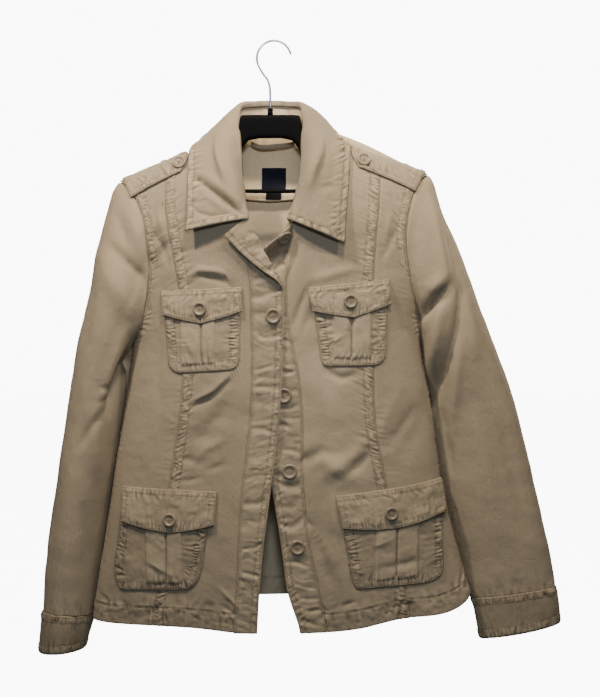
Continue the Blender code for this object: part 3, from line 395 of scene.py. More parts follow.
def math_node(tree, operation, *values):
    """Result of a sum on values that are numbers or sockets."""
    made = node(tree, "ShaderNodeMath", operation=operation)
    for socket, value in zip(made.inputs, values):
        if isinstance(value, bpy.types.NodeSocket):
            tree.links.new(value, socket)
        else:
            socket.default_value = value
    return made.outputs[0]


# twill weave in the cut's own lengths: diagonal ribs, with slubs and uneven yarns
TWILL, g_in, g_out = shader_group(
    "twill", [("Cut", "NodeSocketVector", None), ("Ribs per metre", "NodeSocketFloat", 900.0)],
    [("Height", "NodeSocketFloat"), ("Shade", "NodeSocketFloat")])
scaled = node(TWILL, "ShaderNodeVectorMath", operation="SCALE")
ribs = node(TWILL, "ShaderNodeTexWave", {"Scale": 0.5, "Distortion": 1.2, "Detail": 1.0, "Detail Scale": 1.5},
            wave_type="BANDS", bands_direction="DIAGONAL")
slubs = node(TWILL, "ShaderNodeVectorMath", {1: (1.0, 0.06, 1.0)}, operation="MULTIPLY")
yarns = node(TWILL, "ShaderNodeTexNoise", {"Scale": 1.0, "Detail": 2.0})
weave_height = math_node(TWILL, "MULTIPLY_ADD", yarns.outputs["Fac"], 0.6, ribs.outputs["Fac"])
wire(TWILL, (g_in, "Cut", scaled, 0), (g_in, "Ribs per metre", scaled, "Scale"),
     (scaled, 0, ribs, "Vector"), (scaled, 0, slubs, 0), (slubs, 0, yarns, "Vector"),
     (weave_height.node, 0, g_out, "Height"), (yarns, "Fac", g_out, "Shade"))

# wash: pale crests where washing wore the dye, darker hollows and faint clouds in the dye; the crest input
# also brings the painted light and shade of each piece
WASH, g_in, g_out = shader_group(
    "wash", [("Dye", "NodeSocketColor", (0.4, 0.33, 0.23, 1)), ("Crest", "NodeSocketFloat", 0.0),
             ("Yarn", "NodeSocketFloat", 0.5), ("Place", "NodeSocketVector", None),
             ("Crest gain", "NodeSocketFloat", 1.0)],
    [("Color", "NodeSocketColor"), ("Roughness", "NodeSocketFloat")])
cloud = node(WASH, "ShaderNodeTexNoise", {"Scale": 16.0, "Detail": 5.0, "Roughness": 0.55})
speck = node(WASH, "ShaderNodeTexNoise", {"Scale": 420.0, "Detail": 2.0})
wear_and_painted_shade = math_node(WASH, "MULTIPLY", g_in.outputs["Crest"], g_in.outputs["Crest gain"])
wear_and_painted_shade = math_node(WASH, "MULTIPLY", wear_and_painted_shade, 0.5)
clouds, specks, yarns = [
    math_node(WASH, "MULTIPLY", math_node(WASH, "SUBTRACT", value, 0.5), strength) for value, strength in (
        (cloud.outputs["Fac"], 0.30), (speck.outputs["Fac"], 0.22), (g_in.outputs["Yarn"], 0.16))]
tint = math_node(WASH, "ADD", math_node(WASH, "ADD", wear_and_painted_shade, clouds), math_node(WASH, "ADD", specks, yarns))
tint = math_node(WASH, "ADD", tint, 1.0)
rough = math_node(WASH, "MULTIPLY_ADD", cloud.outputs["Fac"], 0.12, 0.82)
dyed = node(WASH, "ShaderNodeVectorMath", operation="SCALE")
wire(WASH, (g_in, "Place", cloud, "Vector"), (g_in, "Place", speck, "Vector"), (g_in, "Dye", dyed, 0),
     (tint.node, 0, dyed, "Scale"), (dyed, 0, g_out, "Color"), (rough.node, 0, g_out, "Roughness"))


def finish(name, inputs):
    """A new material, its nodes and its shader with the values that it has all over."""
    made = bpy.data.materials.new(name)
    made.use_nodes = True
    shader = made.node_tree.nodes["Principled BSDF"]
    dial(shader, inputs)
    return made, made.node_tree, shader


def cloth_material(name, dye, crest_gain=1.0, ribs=900.0, bump=0.35, sheen=0.05, gloss=0.13):
    made, tree, shader = finish(name, {"Sheen Weight": sheen, "Sheen Roughness": 0.6,
                                       "Specular IOR Level": gloss})
    weave = node(tree, "ShaderNodeGroup", node_tree=TWILL)
    wash = node(tree, "ShaderNodeGroup", node_tree=WASH)
    dial(weave, {"Ribs per metre": ribs})
    dial(wash, {"Dye": (*dye, 1), "Crest gain": crest_gain})
    cut, place = node(tree, "ShaderNodeUVMap", uv_map="cut"), node(tree, "ShaderNodeTexCoord")
    # crest attribute: wear of the ribs plus the painted light and shade of each piece
    crest = node(tree, "ShaderNodeAttribute", attribute_name="crest")
    wrinkles = node(tree, "ShaderNodeTexNoise", {"Scale": 85.0, "Detail": 3.0, "Distortion": 0.6})
    crinkle = node(tree, "ShaderNodeBump", {"Strength": 0.55, "Distance": 0.0013})
    lift = node(tree, "ShaderNodeBump", {"Strength": bump, "Distance": 0.0004})
    wire(tree, (place, "Object", wrinkles, "Vector"), (wrinkles, "Fac", crinkle, "Height"),
         (crinkle, 0, lift, "Normal"), (cut, 0, weave, "Cut"), (weave, "Height", lift, "Height"),
         (weave, "Shade", wash, "Yarn"), (crest, "Fac", wash, "Crest"),
         (place, "Object", wash, "Place"), (wash, "Color", shader, "Base Color"),
         (wash, "Roughness", shader, "Roughness"), (lift, 0, shader, "Normal"))
    return made


KHAKI = cloth_material("khaki_twill", (0.338, 0.269, 0.179))
# a much paler copy of the twill for the inside of the back, the stand and the facing: painted light on the
# inside of the neck
KHAKI_PAINTED_LIT = cloth_material("khaki_painted_lit", (0.70, 0.55, 0.355), crest_gain=0.6)


def in_scene(name, data):
    made = bpy.data.objects.new(name, data)
    bpy.context.scene.collection.objects.link(made)
    return made


def smooth_object(name, mesh, material):
    """The mesh as a smooth object of one material, in the scene."""
    mesh.polygons.foreach_set("use_smooth", np.ones(len(mesh.polygons), bool))
    mesh.materials.append(material)
    return in_scene(name, mesh)


def piece(name, points, stands_for, crest=None, wall=1.0, closed=False, flip=False,
          offset=-1.0, material=KHAKI, held="hung", cut=None, painted_shading=0.0):
    """Sheet of cloth from a grid of points, given a wall behind it.

    Crest is pale where it is above 0 and dark below; the painted shading, light and shade painted into the
    colour, is added to it all over."""
    rows, cols = points.shape[:2]
    r, c = np.meshgrid(np.arange(rows - 1), np.arange(cols if closed else cols - 1), indexing="ij")
    d = (c + 1) % cols
    quads = np.stack([r * cols + c, (r + 1) * cols + c, (r + 1) * cols + d, r * cols + d], -1)
    across, _, down, _ = runs(points)
    across = across.mean(0)
    u = np.stack([across[c]] * 4, -1)
    u[..., 2:] = np.append(across, across[-1] + 2.0)[c + 1][..., None]
    v = np.stack([down[r, c], down[r + 1, c], down[r + 1, d], down[r, d]], -1)
    if flip:
        quads, u, v = quads[..., ::-1], u[..., ::-1], v[..., ::-1]
    mesh = bpy.data.meshes.new(name)
    mesh.from_pydata((points.reshape(-1, 3) * MM).tolist(), [], quads.reshape(-1, 4).tolist())
    mesh.uv_layers.new(name="cut").data.foreach_set("uv", (np.stack([u, v], -1) * MM).ravel())
    # the crest attribute holds the cloth's wear together with the painted light and shade
    wear_and_painted_shade = np.zeros((rows, cols)) + painted_shading + (0 if crest is None else np.clip(crest, -1, 1))
    mesh.attributes.new("crest", "FLOAT", "POINT").data.foreach_set("value", wear_and_painted_shade.ravel())
    made = smooth_object(name, mesh, material)
    shell = made.modifiers.new("wall", "SOLIDIFY")
    shell.thickness = wall * MM
    shell.offset = offset
    if name == "jacket_back":                          # the reverse takes the paler copy of the twill: painted light
        mesh.materials.append(KHAKI_PAINTED_LIT)
        shell.material_offset = 1
    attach(made, "root")
    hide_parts(*([stands_for] if isinstance(stands_for, str) else stands_for))
    if held == "tape":           # a tape narrower than a sheet: its size is not measured
        return made
    ring = np.concatenate([points, points[:, :1]], 1) if closed else points
    across, _, down, _ = runs(ring)
    wide, long = (across.max() * MM, down.max() * MM) if cut is None else cut
    wide, long = round(float(wide), 4), round(float(long), 4)
    return made


def thread_tree():
    """Geometry nodes: one short stitch of thread at each point, laid along its seam."""
    tree = bpy.data.node_groups.new("thread_stitches", "GeometryNodeTree")
    face = tree.interface
    face.new_socket("Seams", in_out="INPUT", socket_type="NodeSocketGeometry")
    for label, value in (("Length", 0.0028), ("Thread", 0.0005)):
        face.new_socket(label, in_out="INPUT", socket_type="NodeSocketFloat").default_value = value
    face.new_socket("Material", in_out="INPUT", socket_type="NodeSocketMaterial")
    face.new_socket("Stitches", in_out="OUTPUT", socket_type="NodeSocketGeometry")
    start, end = tree.nodes.new("NodeGroupInput"), tree.nodes.new("NodeGroupOutput")
    bead = node(tree, "GeometryNodeMeshUVSphere", {"Segments": 4, "Rings": 3, "Radius": 0.5})
    size = node(tree, "ShaderNodeCombineXYZ")
    shape = node(tree, "GeometryNodeTransform")
    along, up = [node(tree, "GeometryNodeInputNamedAttribute", {"Name": label}, data_type="FLOAT_VECTOR")
                 for label in ("along", "up")]
    turn = node(tree, "FunctionNodeAxesToRotation", primary_axis="Z", secondary_axis="X")
    uneven = node(tree, "FunctionNodeRandomValue", {2: 0.88, 3: 1.08, "Seed": 7}, data_type="FLOAT")
    laid = node(tree, "GeometryNodeInstanceOnPoints")
    real = node(tree, "GeometryNodeRealizeInstances")
    smooth = node(tree, "GeometryNodeSetShadeSmooth")
    dress = node(tree, "GeometryNodeSetMaterial")
    wire(tree, (start, "Thread", size, 0), (start, "Thread", size, 1), (start, "Length", size, 2),
         (bead, "Mesh", shape, "Geometry"), (size, 0, shape, "Scale"),
         (along, "Attribute", turn, "Primary Axis"), (up, "Attribute", turn, "Secondary Axis"),
         (start, "Seams", laid, "Points"), (shape, 0, laid, "Instance"), (turn, 0, laid, "Rotation"),
         (uneven, 1, laid, "Scale"), (laid, 0, real, 0), (real, 0, smooth, 0),
         (smooth, 0, dress, "Geometry"), (start, "Material", dress, "Material"), (dress, 0, end, 0))
    return tree


THREAD_TREE = thread_tree()
THREAD, tree, shader = finish("cotton_thread", {"Roughness": 0.75})
place, noise = node(tree, "ShaderNodeTexCoord"), node(tree, "ShaderNodeTexNoise", {"Scale": 900.0})
ramp = node(tree, "ShaderNodeValToRGB")
ramp.color_ramp.elements[0].color = (0.29, 0.23, 0.145, 1)
ramp.color_ramp.elements[1].color = (0.45, 0.37, 0.25, 1)
wire(tree, (place, "Object", noise, "Vector"), (noise, "Fac", ramp, "Fac"),
     (ramp, "Color", shader, "Base Color"))


def seam_row(points, side, away, trim=(0.0, 0.0)):
    """Line on a grid of points at a distance from one of its edges, with its normals."""
    grid, up = points, grid_normals(points)
    if side in ("top", "low"):
        grid, up = grid.transpose(1, 0, 2), up.transpose(1, 0, 2)
    if side in ("last", "low"):
        grid, up = grid[:, ::-1], up[:, ::-1]
    span = runs(grid)[0]
    away = np.broadcast_to(np.asarray(away, float), (len(grid),))
    place, normal = [], []
    for k in range(len(grid)):
        t = np.interp(away[k], span[k], np.arange(span.shape[1]))
        i = min(int(t), span.shape[1] - 2)
        f = t - i
        place.append(grid[k, i] * (1 - f) + grid[k, i + 1] * f)
        normal.append(up[k, i] * (1 - f) + up[k, i + 1] * f)
    run = length_along(np.array(place))
    count = max(int((run[-1] - sum(trim)) / STITCH_STEP), 2)
    keep = np.linspace(trim[0], max(run[-1] - trim[1], trim[0] + 1), count)
    return [np.stack([np.interp(keep, run, line[:, k]) for k in range(3)], -1)
            for line in (np.array(place), np.array(normal))]


def sew(name, rows, flip=False, length=0.0027, thread=0.0007):
    """Rows of stitches as one mesh; each row is a line of places and its normals."""
    places = np.concatenate([p for p, _ in rows])
    ups = np.concatenate([up for _, up in rows]) * (-1 if flip else 1)
    ways = np.concatenate([np.gradient(p, axis=0) for p, _ in rows])
    ways = ways / np.maximum(np.linalg.norm(ways, axis=1, keepdims=True), 1e-9)
    mesh = bpy.data.meshes.new(name)
    mesh.from_pydata(((places + ups * THREAD_STAND) * MM).tolist(), [], [])
    for label, values in (("along", ways), ("up", ups)):
        mesh.attributes.new(label, "FLOAT_VECTOR", "POINT").data.foreach_set("vector", values.ravel())
    made = in_scene(name, mesh)
    nodes = made.modifiers.new("stitches", "NODES")
    nodes.node_group = THREAD_TREE
    for item in THREAD_TREE.interface.items_tree:
        value = {"Length": length, "Thread": thread, "Material": THREAD}.get(item.name)
        if value is not None:
            nodes[item.identifier] = value
    shown = made.evaluated_get(bpy.context.evaluated_depsgraph_get())
    plain = bpy.data.meshes.new_from_object(shown)
    made.modifiers.remove(nodes)
    made.data = plain
    if not plain.materials:
        plain.materials.append(THREAD)
    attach(made, "root")
    return made


# --- Back -------------------------------------------------------------------------------
# One panel of twill from the neck and shoulders to the hem, shaped by two long seams that
# are topstitched twice, and turned up at the bottom with one row 25 mm above the edge.
NECK_BACK = np.array([(0, -106, -106), (20, -107, -107), (40, -110.5, -110),
                      (55, -116, -114), (62, -122, -118)], float)


def back_panel():
    rows = []
    for side in (RIGHT, LEFT):
        outer = outer_levels(side, BACK, 58, 112)
        tip = abs(ARMHOLE[side][0, 1] - CENTRE)
        col = 1 if side == RIGHT else 2
        columns = []
        for c in 1 - np.interp(np.linspace(0, 1, 57), [0, 0.2, 1], [0, 0.12, 1]):
            x_top = CENTRE + side * tip * c
            top = (flow(tip * c, NECK_BACK[:, 0], NECK_BACK[:, col]) if tip * c < 62
                   else float(ridge(x_top)))
            z = spread(outer, top - 0.01, hem(CENTRE + side * half(side, -745) * c, BACK))
            blend = c ** 3
            z = z * (1 - blend) + outer * blend if c < 1 else outer
            if side == LEFT:
                z = z * c + rows[0][-1][:, 2] * (1 - c)
            s = arm_girth(side, BACK, np.minimum(z, ARMHOLE[side][0, 0]))
            x_out = half(side, z) * np.interp(s, GIRTH[0], GIRTH[1])
            s = girth_at(side, CENTRE + side * x_out * c, z) if c < 1 else s
            p = skin(side, BACK, s, z)
            p[0, 1] = max(p[0, 1], 0.3)
            columns.append(p)
        rows.append(columns)
    return np.stack(rows[0] + rows[1][-2::-1], 1)


back = back_panel()
x, z = back[..., 0], back[..., 2]
first, last, top, low = runs(back)
relief, crest = np.zeros(x.shape), np.zeros(x.shape)
for side, x_top, x_low, seed in ((RIGHT, -98, -118, 21), (LEFT, 92, 118, 22)):
    waist = 14 * np.exp(-((z + 430) / 130) ** 2)
    off = (x - (x_top + (x_low - x_top) * ease((-140 - z) / 600) - side * waist)) * -side
    h, c = drawn(np.abs(off), top, seed, rows=(1.8, 8.5))
    on = (off > 0) * ease(top / 14)
    relief += on * h - 0.5 * np.exp(-(off / 1.2) ** 2)
    crest += on * c
for away, seed in ((first, 23), (last, 24)):
    h, c = drawn(away, top, seed, rows=(3.0,), band=(1, 6), high=0.3, plump=0.2)
    relief += h * ease(top / 20)
    crest += c * ease(top / 20)
h, c = hem_ribs(low, x, 25, 0.6, 0.9)
back = (back - grid_normals(back) * (relief + h)[..., None])[:, ::-1]
piece("jacket_back", back, "back", (crest + c)[:, ::-1])
sew("stitches_back", [seam_row(back, "low", HEM_TURN, (4, 4)), seam_row(back, "first", 3.0, (250, 3)),
                      seam_row(back, "last", 3.0, (250, 3))])

# --- Fronts -----------------------------------------------------------------------------
# Each front is cut in two. The centre panel laps over the side panel and is topstitched
# twice beside its edge; the armhole is topstitched twice down to the chest. The places of
# the pockets and flaps are given here, for the cloth lies flat under them.
PRINCESS = {                 # level, x of the seam between side and centre
    RIGHT: np.array([(-149, -131), (-204, -131.9), (-254, -125.3), (-311, -115.2),
                     (-430, -110.9), (-510, -120.5), (-564, -128.9), (-722, -149.4),
                     (-770, -155)], float),
    LEFT: np.array([(-141, 129.5), (-191, 128.7), (-254, 123.6), (-299, 121.1),
                    (-422, 121.6), (-497, 125.9), (-560, 138), (-720, 167),
                    (-770, 176)], float),
}
PLACKET = {                  # level, x of the seam that joins the placket
    RIGHT: np.array([(-120, -34), (-240, -34), (-326, -29.6), (-482, -30.6),
                     (-580, -41.8), (-719, -49.8), (-770, -54)], float),
    LEFT: np.array([(-120, 25), (-250, 22), (-290, 17), (-348, 18), (-390, 25),
                    (-433, 33), (-480, 37), (-550, 37), (-640, 45), (-721, 61),
                    (-770, 70)], float),
}
NECK = np.array([            # distance from the middle, level of the neckline right and left
    (26, -243, -238), (31, -228, -228), (37, -208, -210), (43, -186, -188),
    (50, -158, -155), (57, -134, -131), (62, -122, -118)], float)
FLAPS = {                    # top outer and inner ends, low ends, point
    "chest_right": (RIGHT, (-143.7, -317.1), (-40.1, -311.6), (-141.4, -348.2),
                    (-39.8, -342.4), (-91.6, -359.1)),
    "chest_left": (LEFT, (43.5, -312.4), (146.7, -302.4), (48.8, -342.5),
                   (148.6, -334.1), (101.4, -351.4)),
    "lower_right": (RIGHT, (-197.4, -572.6), (-72.8, -574), (-197.9, -618.4),
                    (-76, -617.1), (-133.9, -630.1)),
    "lower_left": (LEFT, (79, -580.9), (217.6, -565), (87.2, -623),
                   (222.8, -608.7), (158.9, -625.2)),
}
BAGS = {                     # left edge, rounded bottom, right edge, middle and edges of the pleat
    "chest_right": (RIGHT, (-140.9, -327), (-135.9, -407), (-119.1, -422.8),
                    (-58.1, -417.8), (-43.1, -402), (-41.5, -323), -92, (-118, -74.7)),
    "chest_left": (LEFT, (48.5, -323), (59.2, -402), (68, -413.4),
                   (127.4, -413.2), (144.3, -396.5), (146.5, -313), 99, (76, 123)),
    "lower_right": (RIGHT, (-197, -584), (-211.5, -682), (-199, -709.7),
                    (-118.5, -705.5), (-93, -670), (-78.5, -585), -140, (-166, -120)),
    "lower_left": (LEFT, (81.5, -592), (99.5, -682), (111, -704.5),
                   (190.1, -700.6), (222.5, -684), (221.5, -577), 159, (132, 186)),
}
LAP = 6.0                    # lap of the centre panel over the side panel


def covered(x, z):
    """1 under the pockets and flaps, falling to 0 at their edges."""
    most = np.zeros(np.broadcast(x, z).shape)
    for _, tl, l1, l2, r2, r1, tr, *_ in BAGS.values():
        left = flow(z, [l2[1], l1[1], tl[1]], [l2[0], l1[0], tl[0]])
        right = flow(z, [r2[1], r1[1], tr[1]], [r2[0], r1[0], tr[0]])
        low = np.interp(x, [l1[0], l2[0], r2[0], r1[0]], [l1[1], l2[1], r2[1], r1[1]])
        inside = (ease((x - left - 1) / 5) * ease((right - x - 1) / 5) * ease((z - low - 1) / 5)
                  * ease((max(tl[1], tr[1]) + 8 - z) / 5))
        most = np.maximum(most, inside)
    return most


def raised(flat, relief, x, z):
    """Panel moved out by its relief, which the pockets press flat under them."""
    bare = 1 - 0.85 * covered(x, z)
    return flat + grid_normals(flat) * (relief * np.where(relief > 0, bare, 1))[..., None]


def bands(size, marks):
    """Shares from 0 to 1 spread evenly between marks given as (step, share)."""
    return np.interp(np.linspace(0, 1, size), *np.array(marks, float).T)


def front_side(side, lift):
    outer = outer_levels(side, FRONT, 150, 216)
    columns = []
    for c in np.concatenate([[-1, -0.5], bands(38, [(0, 0), (0.16, 0.10), (0.62, 0.78), (1, 1)])]):
        k = max(c, 0)
        x_top = PRINCESS[side][0, 1] + (ARMHOLE[side][0, 1] - PRINCESS[side][0, 1]) * k
        x_low = PRINCESS[side][-1, 1] + (side * half(side, -745) - PRINCESS[side][-1, 1]) * k
        z = outer if c == 1 else spread(outer, float(ridge(x_top)) - 0.01, hem(x_low, FRONT))
        s_in = girth_at(side, flow(z, *PRINCESS[side].T) - side * 3 * max(-c, 0), z)
        s = s_in + (arm_girth(side, FRONT, z) - s_in) * k
        columns.append(skin(side, FRONT, s, z, lift))
    p = np.stack(columns, 1)
    return p if side == LEFT else p[:, ::-1]


def front_centre(side, lift):
    outer = outer_levels(side, FRONT, 150, 216)
    col = 1 if side == RIGHT else 2
    x_0, x_p = (-34.0 if side == RIGHT else PLACKET[side][0, 1]), PRINCESS[side][0, 1]
    columns = []
    for c in np.concatenate([[-1, -0.5], bands(42, [(0, 0), (0.12, 0.06), (0.66, 0.84), (1, 1)])]):
        k = max(c, 0)
        x_top = x_0 + (x_p + side * LAP - x_0) * k
        a = abs(x_top - CENTRE)
        top = float(flow(a, NECK[:, 0], NECK[:, col])) if a < 62 else float(ridge(x_top))
        x_low = PLACKET[side][-1, 1] + (PRINCESS[side][-1, 1] - PLACKET[side][-1, 1]) * k
        z = spread(outer, top - 0.01, hem(x_low, FRONT))
        a_x = flow(z, *PLACKET[side].T) - side * 6 * max(-c, 0)
        b_x = flow(z, *PRINCESS[side].T) + side * LAP
        columns.append(skin(side, FRONT, girth_at(side, a_x + (b_x - a_x) * k, z), z, lift))
    p = np.stack(columns, 1)
    return p if side == LEFT else p[:, ::-1]


def front_painted_shading(x, z, low, side):
    """Painted shade along the hem and low on the right front, and a painted pool of light on the belly of the
    left front.
    """
    pale = 0.55 * np.exp(-((x - 52) / 42) ** 2 - ((z + 450) / 85) ** 2) * (side == LEFT)
    return pale - 0.22 * ease((29 - low) / 5) - 0.14 * (side == RIGHT) * ease((-420 - z) / 90)


for side, word, seed, edge_side in ((RIGHT, "right", 41, "first"), (LEFT, "left", 51, "last")):
    lift = 1.0 if side == RIGHT else 0.0
    flat = front_side(side, lift)
    x, z = flat[..., 0], flat[..., 2]
    first, last, top, low = runs(flat)
    outer = first if side == RIGHT else last
    seam = side * (x - flow(z, *PRINCESS[side].T))
    relief = -1.6 * (1 - ease((seam - LAP + 0.5) / 3.0))
    band = ease((z - (-296 if side == RIGHT else -272)) / 14)
    h, crest = drawn(outer, top, seed, rows=(2.0, 12.0), high=1.1)
    relief, crest = relief + h * band, crest * band
    h, c = drawn(outer, top, seed + 1, rows=(3.0,), band=(1, 6), high=0.5, plump=0.3)
    relief, crest = relief + h * (1 - band), crest + c * (1 - band)
    h, c = drawn(np.abs(seam - LAP), top, seed + 2, NO_ROW, band=(0, 1), high=0.0, drag=0.5, plump=0.0)
    relief, crest = relief + h * ease((seam - LAP) / 3), crest + c * ease((seam - LAP) / 3)
    h, c = hem_ribs(low, x, seed + 3, 0.75, 1.2)
    shown = raised(flat, relief + h, x, z)
    piece(f"front_{word}_side_panel", shown, f"front_{word}_side", crest + c,
          painted_shading=front_painted_shading(x, z, low, side))
    upper = shown[:int(np.argmin(np.abs(z[:, 0 if side == RIGHT else -1] + 294)))]
    sew(f"stitches_front_{word}_side",
        [seam_row(upper, edge_side, 2.0), seam_row(upper, edge_side, 12.0),
         seam_row(shown, "low", HEM_TURN, (4, 4)), seam_row(shown, edge_side, 3.0, (246, 3))])

    flat = front_centre(side, lift)
    x, z = flat[..., 0], flat[..., 2]
    first, last, top, low = runs(flat)
    outer, inner = (first, last) if side == RIGHT else (last, first)
    h, crest = drawn(outer, top, seed + 5, rows=(2.0, 13.0), high=1.15)
    relief = h - 2.1 * (1 - ease((inner - 5.2) / 2.4))
    h, c = drawn(np.abs(inner - 6), top, seed + 6, NO_ROW, band=(0, 2), high=0.2, drag=0.45, plump=0.0)
    relief, crest = relief + h * (inner > 6), crest + c * (inner > 6)
    h, c = hem_ribs(low, x, seed + 7, 0.75, 1.2)
    shown = raised(flat, relief + h, x, z)
    piece(f"front_{word}_centre_panel", shown, f"front_{word}_centre", crest + c,
          painted_shading=front_painted_shading(x, z, low, side))
    sew(f"stitches_front_{word}_centre",
        [seam_row(shown, edge_side, 2.0), seam_row(shown, edge_side, 13.0),
         seam_row(shown, "low", HEM_TURN, (8, 4))])

# --- Plackets -----------------------------------------------------------------------------
# Two plies of twill down each front edge, topstitched beside both edges and creased right
# across. The right one carries the buttonholes; its top corner is turned back as a lapel.
EDGE = {                     # level, x of the free edge
    RIGHT: np.array([(-240, 3.0), (-308, 9.4), (-328, 12.5), (-366, 11.4),
                     (-430, 10.2), (-481, 6.7), (-579, -5.2), (-662, -15.4),
                     (-755, -21.9), (-770, -22.6)], float),
    LEFT: np.array([(-238, -10.0), (-264, -12.4), (-300, -17), (-348, -20),
                    (-400, -15), (-450, -8), (-520, -5), (-563, -3.3), (-613, 4.0),
                    (-657, 10.4), (-710, 17.8), (-761, 32.9), (-770, 34)], float),
}
# share up the turned corner, x and level of the fold, x and level of the edge, angle turned
LAPEL = np.array([
    (0.00, 8.5, -322, 12.2, -322, 0), (0.10, 7.6, -312, 11.0, -311, 60),
    (0.24, 3.4, -299, 9.6, -297, 128), (0.45, -7.0, -280, 7.8, -275, 164),
    (0.70, -18.0, -259, 5.6, -253, 172), (1.00, -29.0, -235.5, 3.0, -231.5, 174)], float)
ROLL, PLY = 2.1, 1.8         # radius of the lapel's fold, thickness of the two plies
LEAN = np.array([-34.5, 86.5]) / math.hypot(34.5, 86.5)      # way up the lapel's fold


def placket_right():
    rows = []
    steps = [("low", z) for z in np.linspace(0, 1, 250)] + [
        ("lapel", r) for r in np.linspace(0.03, 1.14, 56)]
    for kind, r in steps:
        if kind == "low":
            foot = float(hem(-36.0, FRONT))
            z = foot + (-322 - foot) * r
            edge = np.array([flow(z, *EDGE[RIGHT].T), z])
            fold, turn, seam_z = edge - [6.5, 0], 0.0, z
        else:
            on = max(r - 1, 0) / 0.3
            x_fold, z_fold, x_edge, z_edge = (np.interp(r, LAPEL[:, 0], LAPEL[:, k]) for k in (1, 2, 3, 4))
            fold = np.array([x_fold - 11 * on, z_fold + 23.5 * on])
            edge = np.array([x_edge - 2.6 * on, z_edge + 21.5 * on])
            turn = math.radians(float(flow(r, LAPEL[:, 0], LAPEL[:, 5])))
            seam_z = -322 + 82 * r
        seam = np.array([flow(seam_z, *PLACKET[RIGHT].T), seam_z])
        up = LEAN if kind == "lapel" else np.array([0.0, 1.0])
        out = np.array([up[1], -up[0]])
        reach, slide = (edge - fold) @ out, (edge - fold) @ up
        flat, rise = [seam + (fold - seam) * c for c in np.linspace(0, 1, 16)], [0.0] * 16
        for k in range(1, 8):
            a = turn * k / 7
            flat.append(fold + out * (ROLL * math.sin(a) if turn else 2.4 * k / 7))
            rise.append(ROLL * (1 - math.cos(a)))
        done = 0.0 if turn else 2.4 / reach
        for c in np.linspace(0, 1, 13)[1:]:
            c = done + (1 - done) * c
            flat.append(fold + out * (ROLL * math.sin(turn) + c * reach * math.cos(turn)) + up * slide * c)
            rise.append(ROLL * (1 - math.cos(turn)) + c * reach * math.sin(turn))
        flat, rise = np.array(flat), np.array(rise)
        y = depth(flat[:, 0], flat[:, 1], FRONT, 1.0) + PLY / 2 - rise
        rows.append(np.stack([flat[:, 0], y, flat[:, 1]], -1))
    return np.stack(rows[::-1], 0)


def placket_left():
    r, c = np.meshgrid(np.linspace(0, 1, 300), bands(30, [(0, 0), (0.4, 0.28), (0.75, 0.86), (1, 1)]),
                       indexing="ij")
    top, x_low = -263.0 + 30.0 * c, 33.5 + 36 * c
    z = top + (hem(x_low, FRONT) - top) * r
    x0, x1 = flow(z, *EDGE[LEFT].T), flow(z, *PLACKET[LEFT].T)
    x = x0 + (x1 - x0) * c
    return np.stack([x, depth(x, z, FRONT), z], -1)


for word, flat, seed, edge_side, seam_side in (("right", placket_right(), 61, "last", "first"),
                                               ("left", placket_left(), 71, "first", "last")):
    first, last, top, low = runs(flat)
    free, sewn = (last, first) if word == "right" else (first, last)
    z = flat[..., 2]
    relief, crest = drawn(free, top, seed, TWO_ROWS, high=0.8)
    h, c = drawn(sewn, top, seed + 1, rows=(2.2,), band=(0.5, 4), high=0.25, drag=0.2, plump=0.3)
    relief, crest = relief + h, crest + c
    # creases drawn right across, some slanting, at uneven steps
    gentle = ease(free / 6) * ease(sewn / 8) * ease(low / 12)
    level = top.mean(1, keepdims=True) + 0 * top if word == "right" else -230 - z
    level = level + 5 * grain(level / 22, free / 18, seed + 6)
    across = (creases(level, free, seed + 2, 22.0, 1.3, 3.2)
              + creases(level, free, seed + 3, 13.0, 0.5, 1.5, 0.5)
              + 0.35 * grain(level / 6, free / 7, seed + 5))
    relief, crest = relief + across * gentle, crest + 0.5 * across * gentle
    h, c = drawn(low, first, seed + 4, rows=(HEM_TURN,), band=(22, 28), high=0.2, drag=0.3)
    relief, crest = relief + 0.7 * h, crest + 0.6 * c
    shown = flat + grid_normals(flat) * relief[..., None]
    piece(f"front_placket_{word}", shown, f"placket_{word}", crest, wall=PLY,
          offset=0.0 if word == "right" else -1.0, cut=(0.088, 0.56))
    place = shown + (grid_normals(shown) * PLY / 2 if word == "right" else 0)
    rows = [seam_row(place, edge_side, 2.0), seam_row(place, edge_side, 8.5),
            seam_row(place, seam_side, 2.2), seam_row(place, "low", HEM_TURN)]
    if word == "right":
        right_placket = shown
        under = (shown - grid_normals(shown) * PLY / 2)[:52]
        rows += [(line, -up) for line, up in (seam_row(under, "last", 2.0), seam_row(under, "last", 8.5),
                                              seam_row(under, "top", 3.0))]
    sew(f"stitches_placket_{word}", rows)

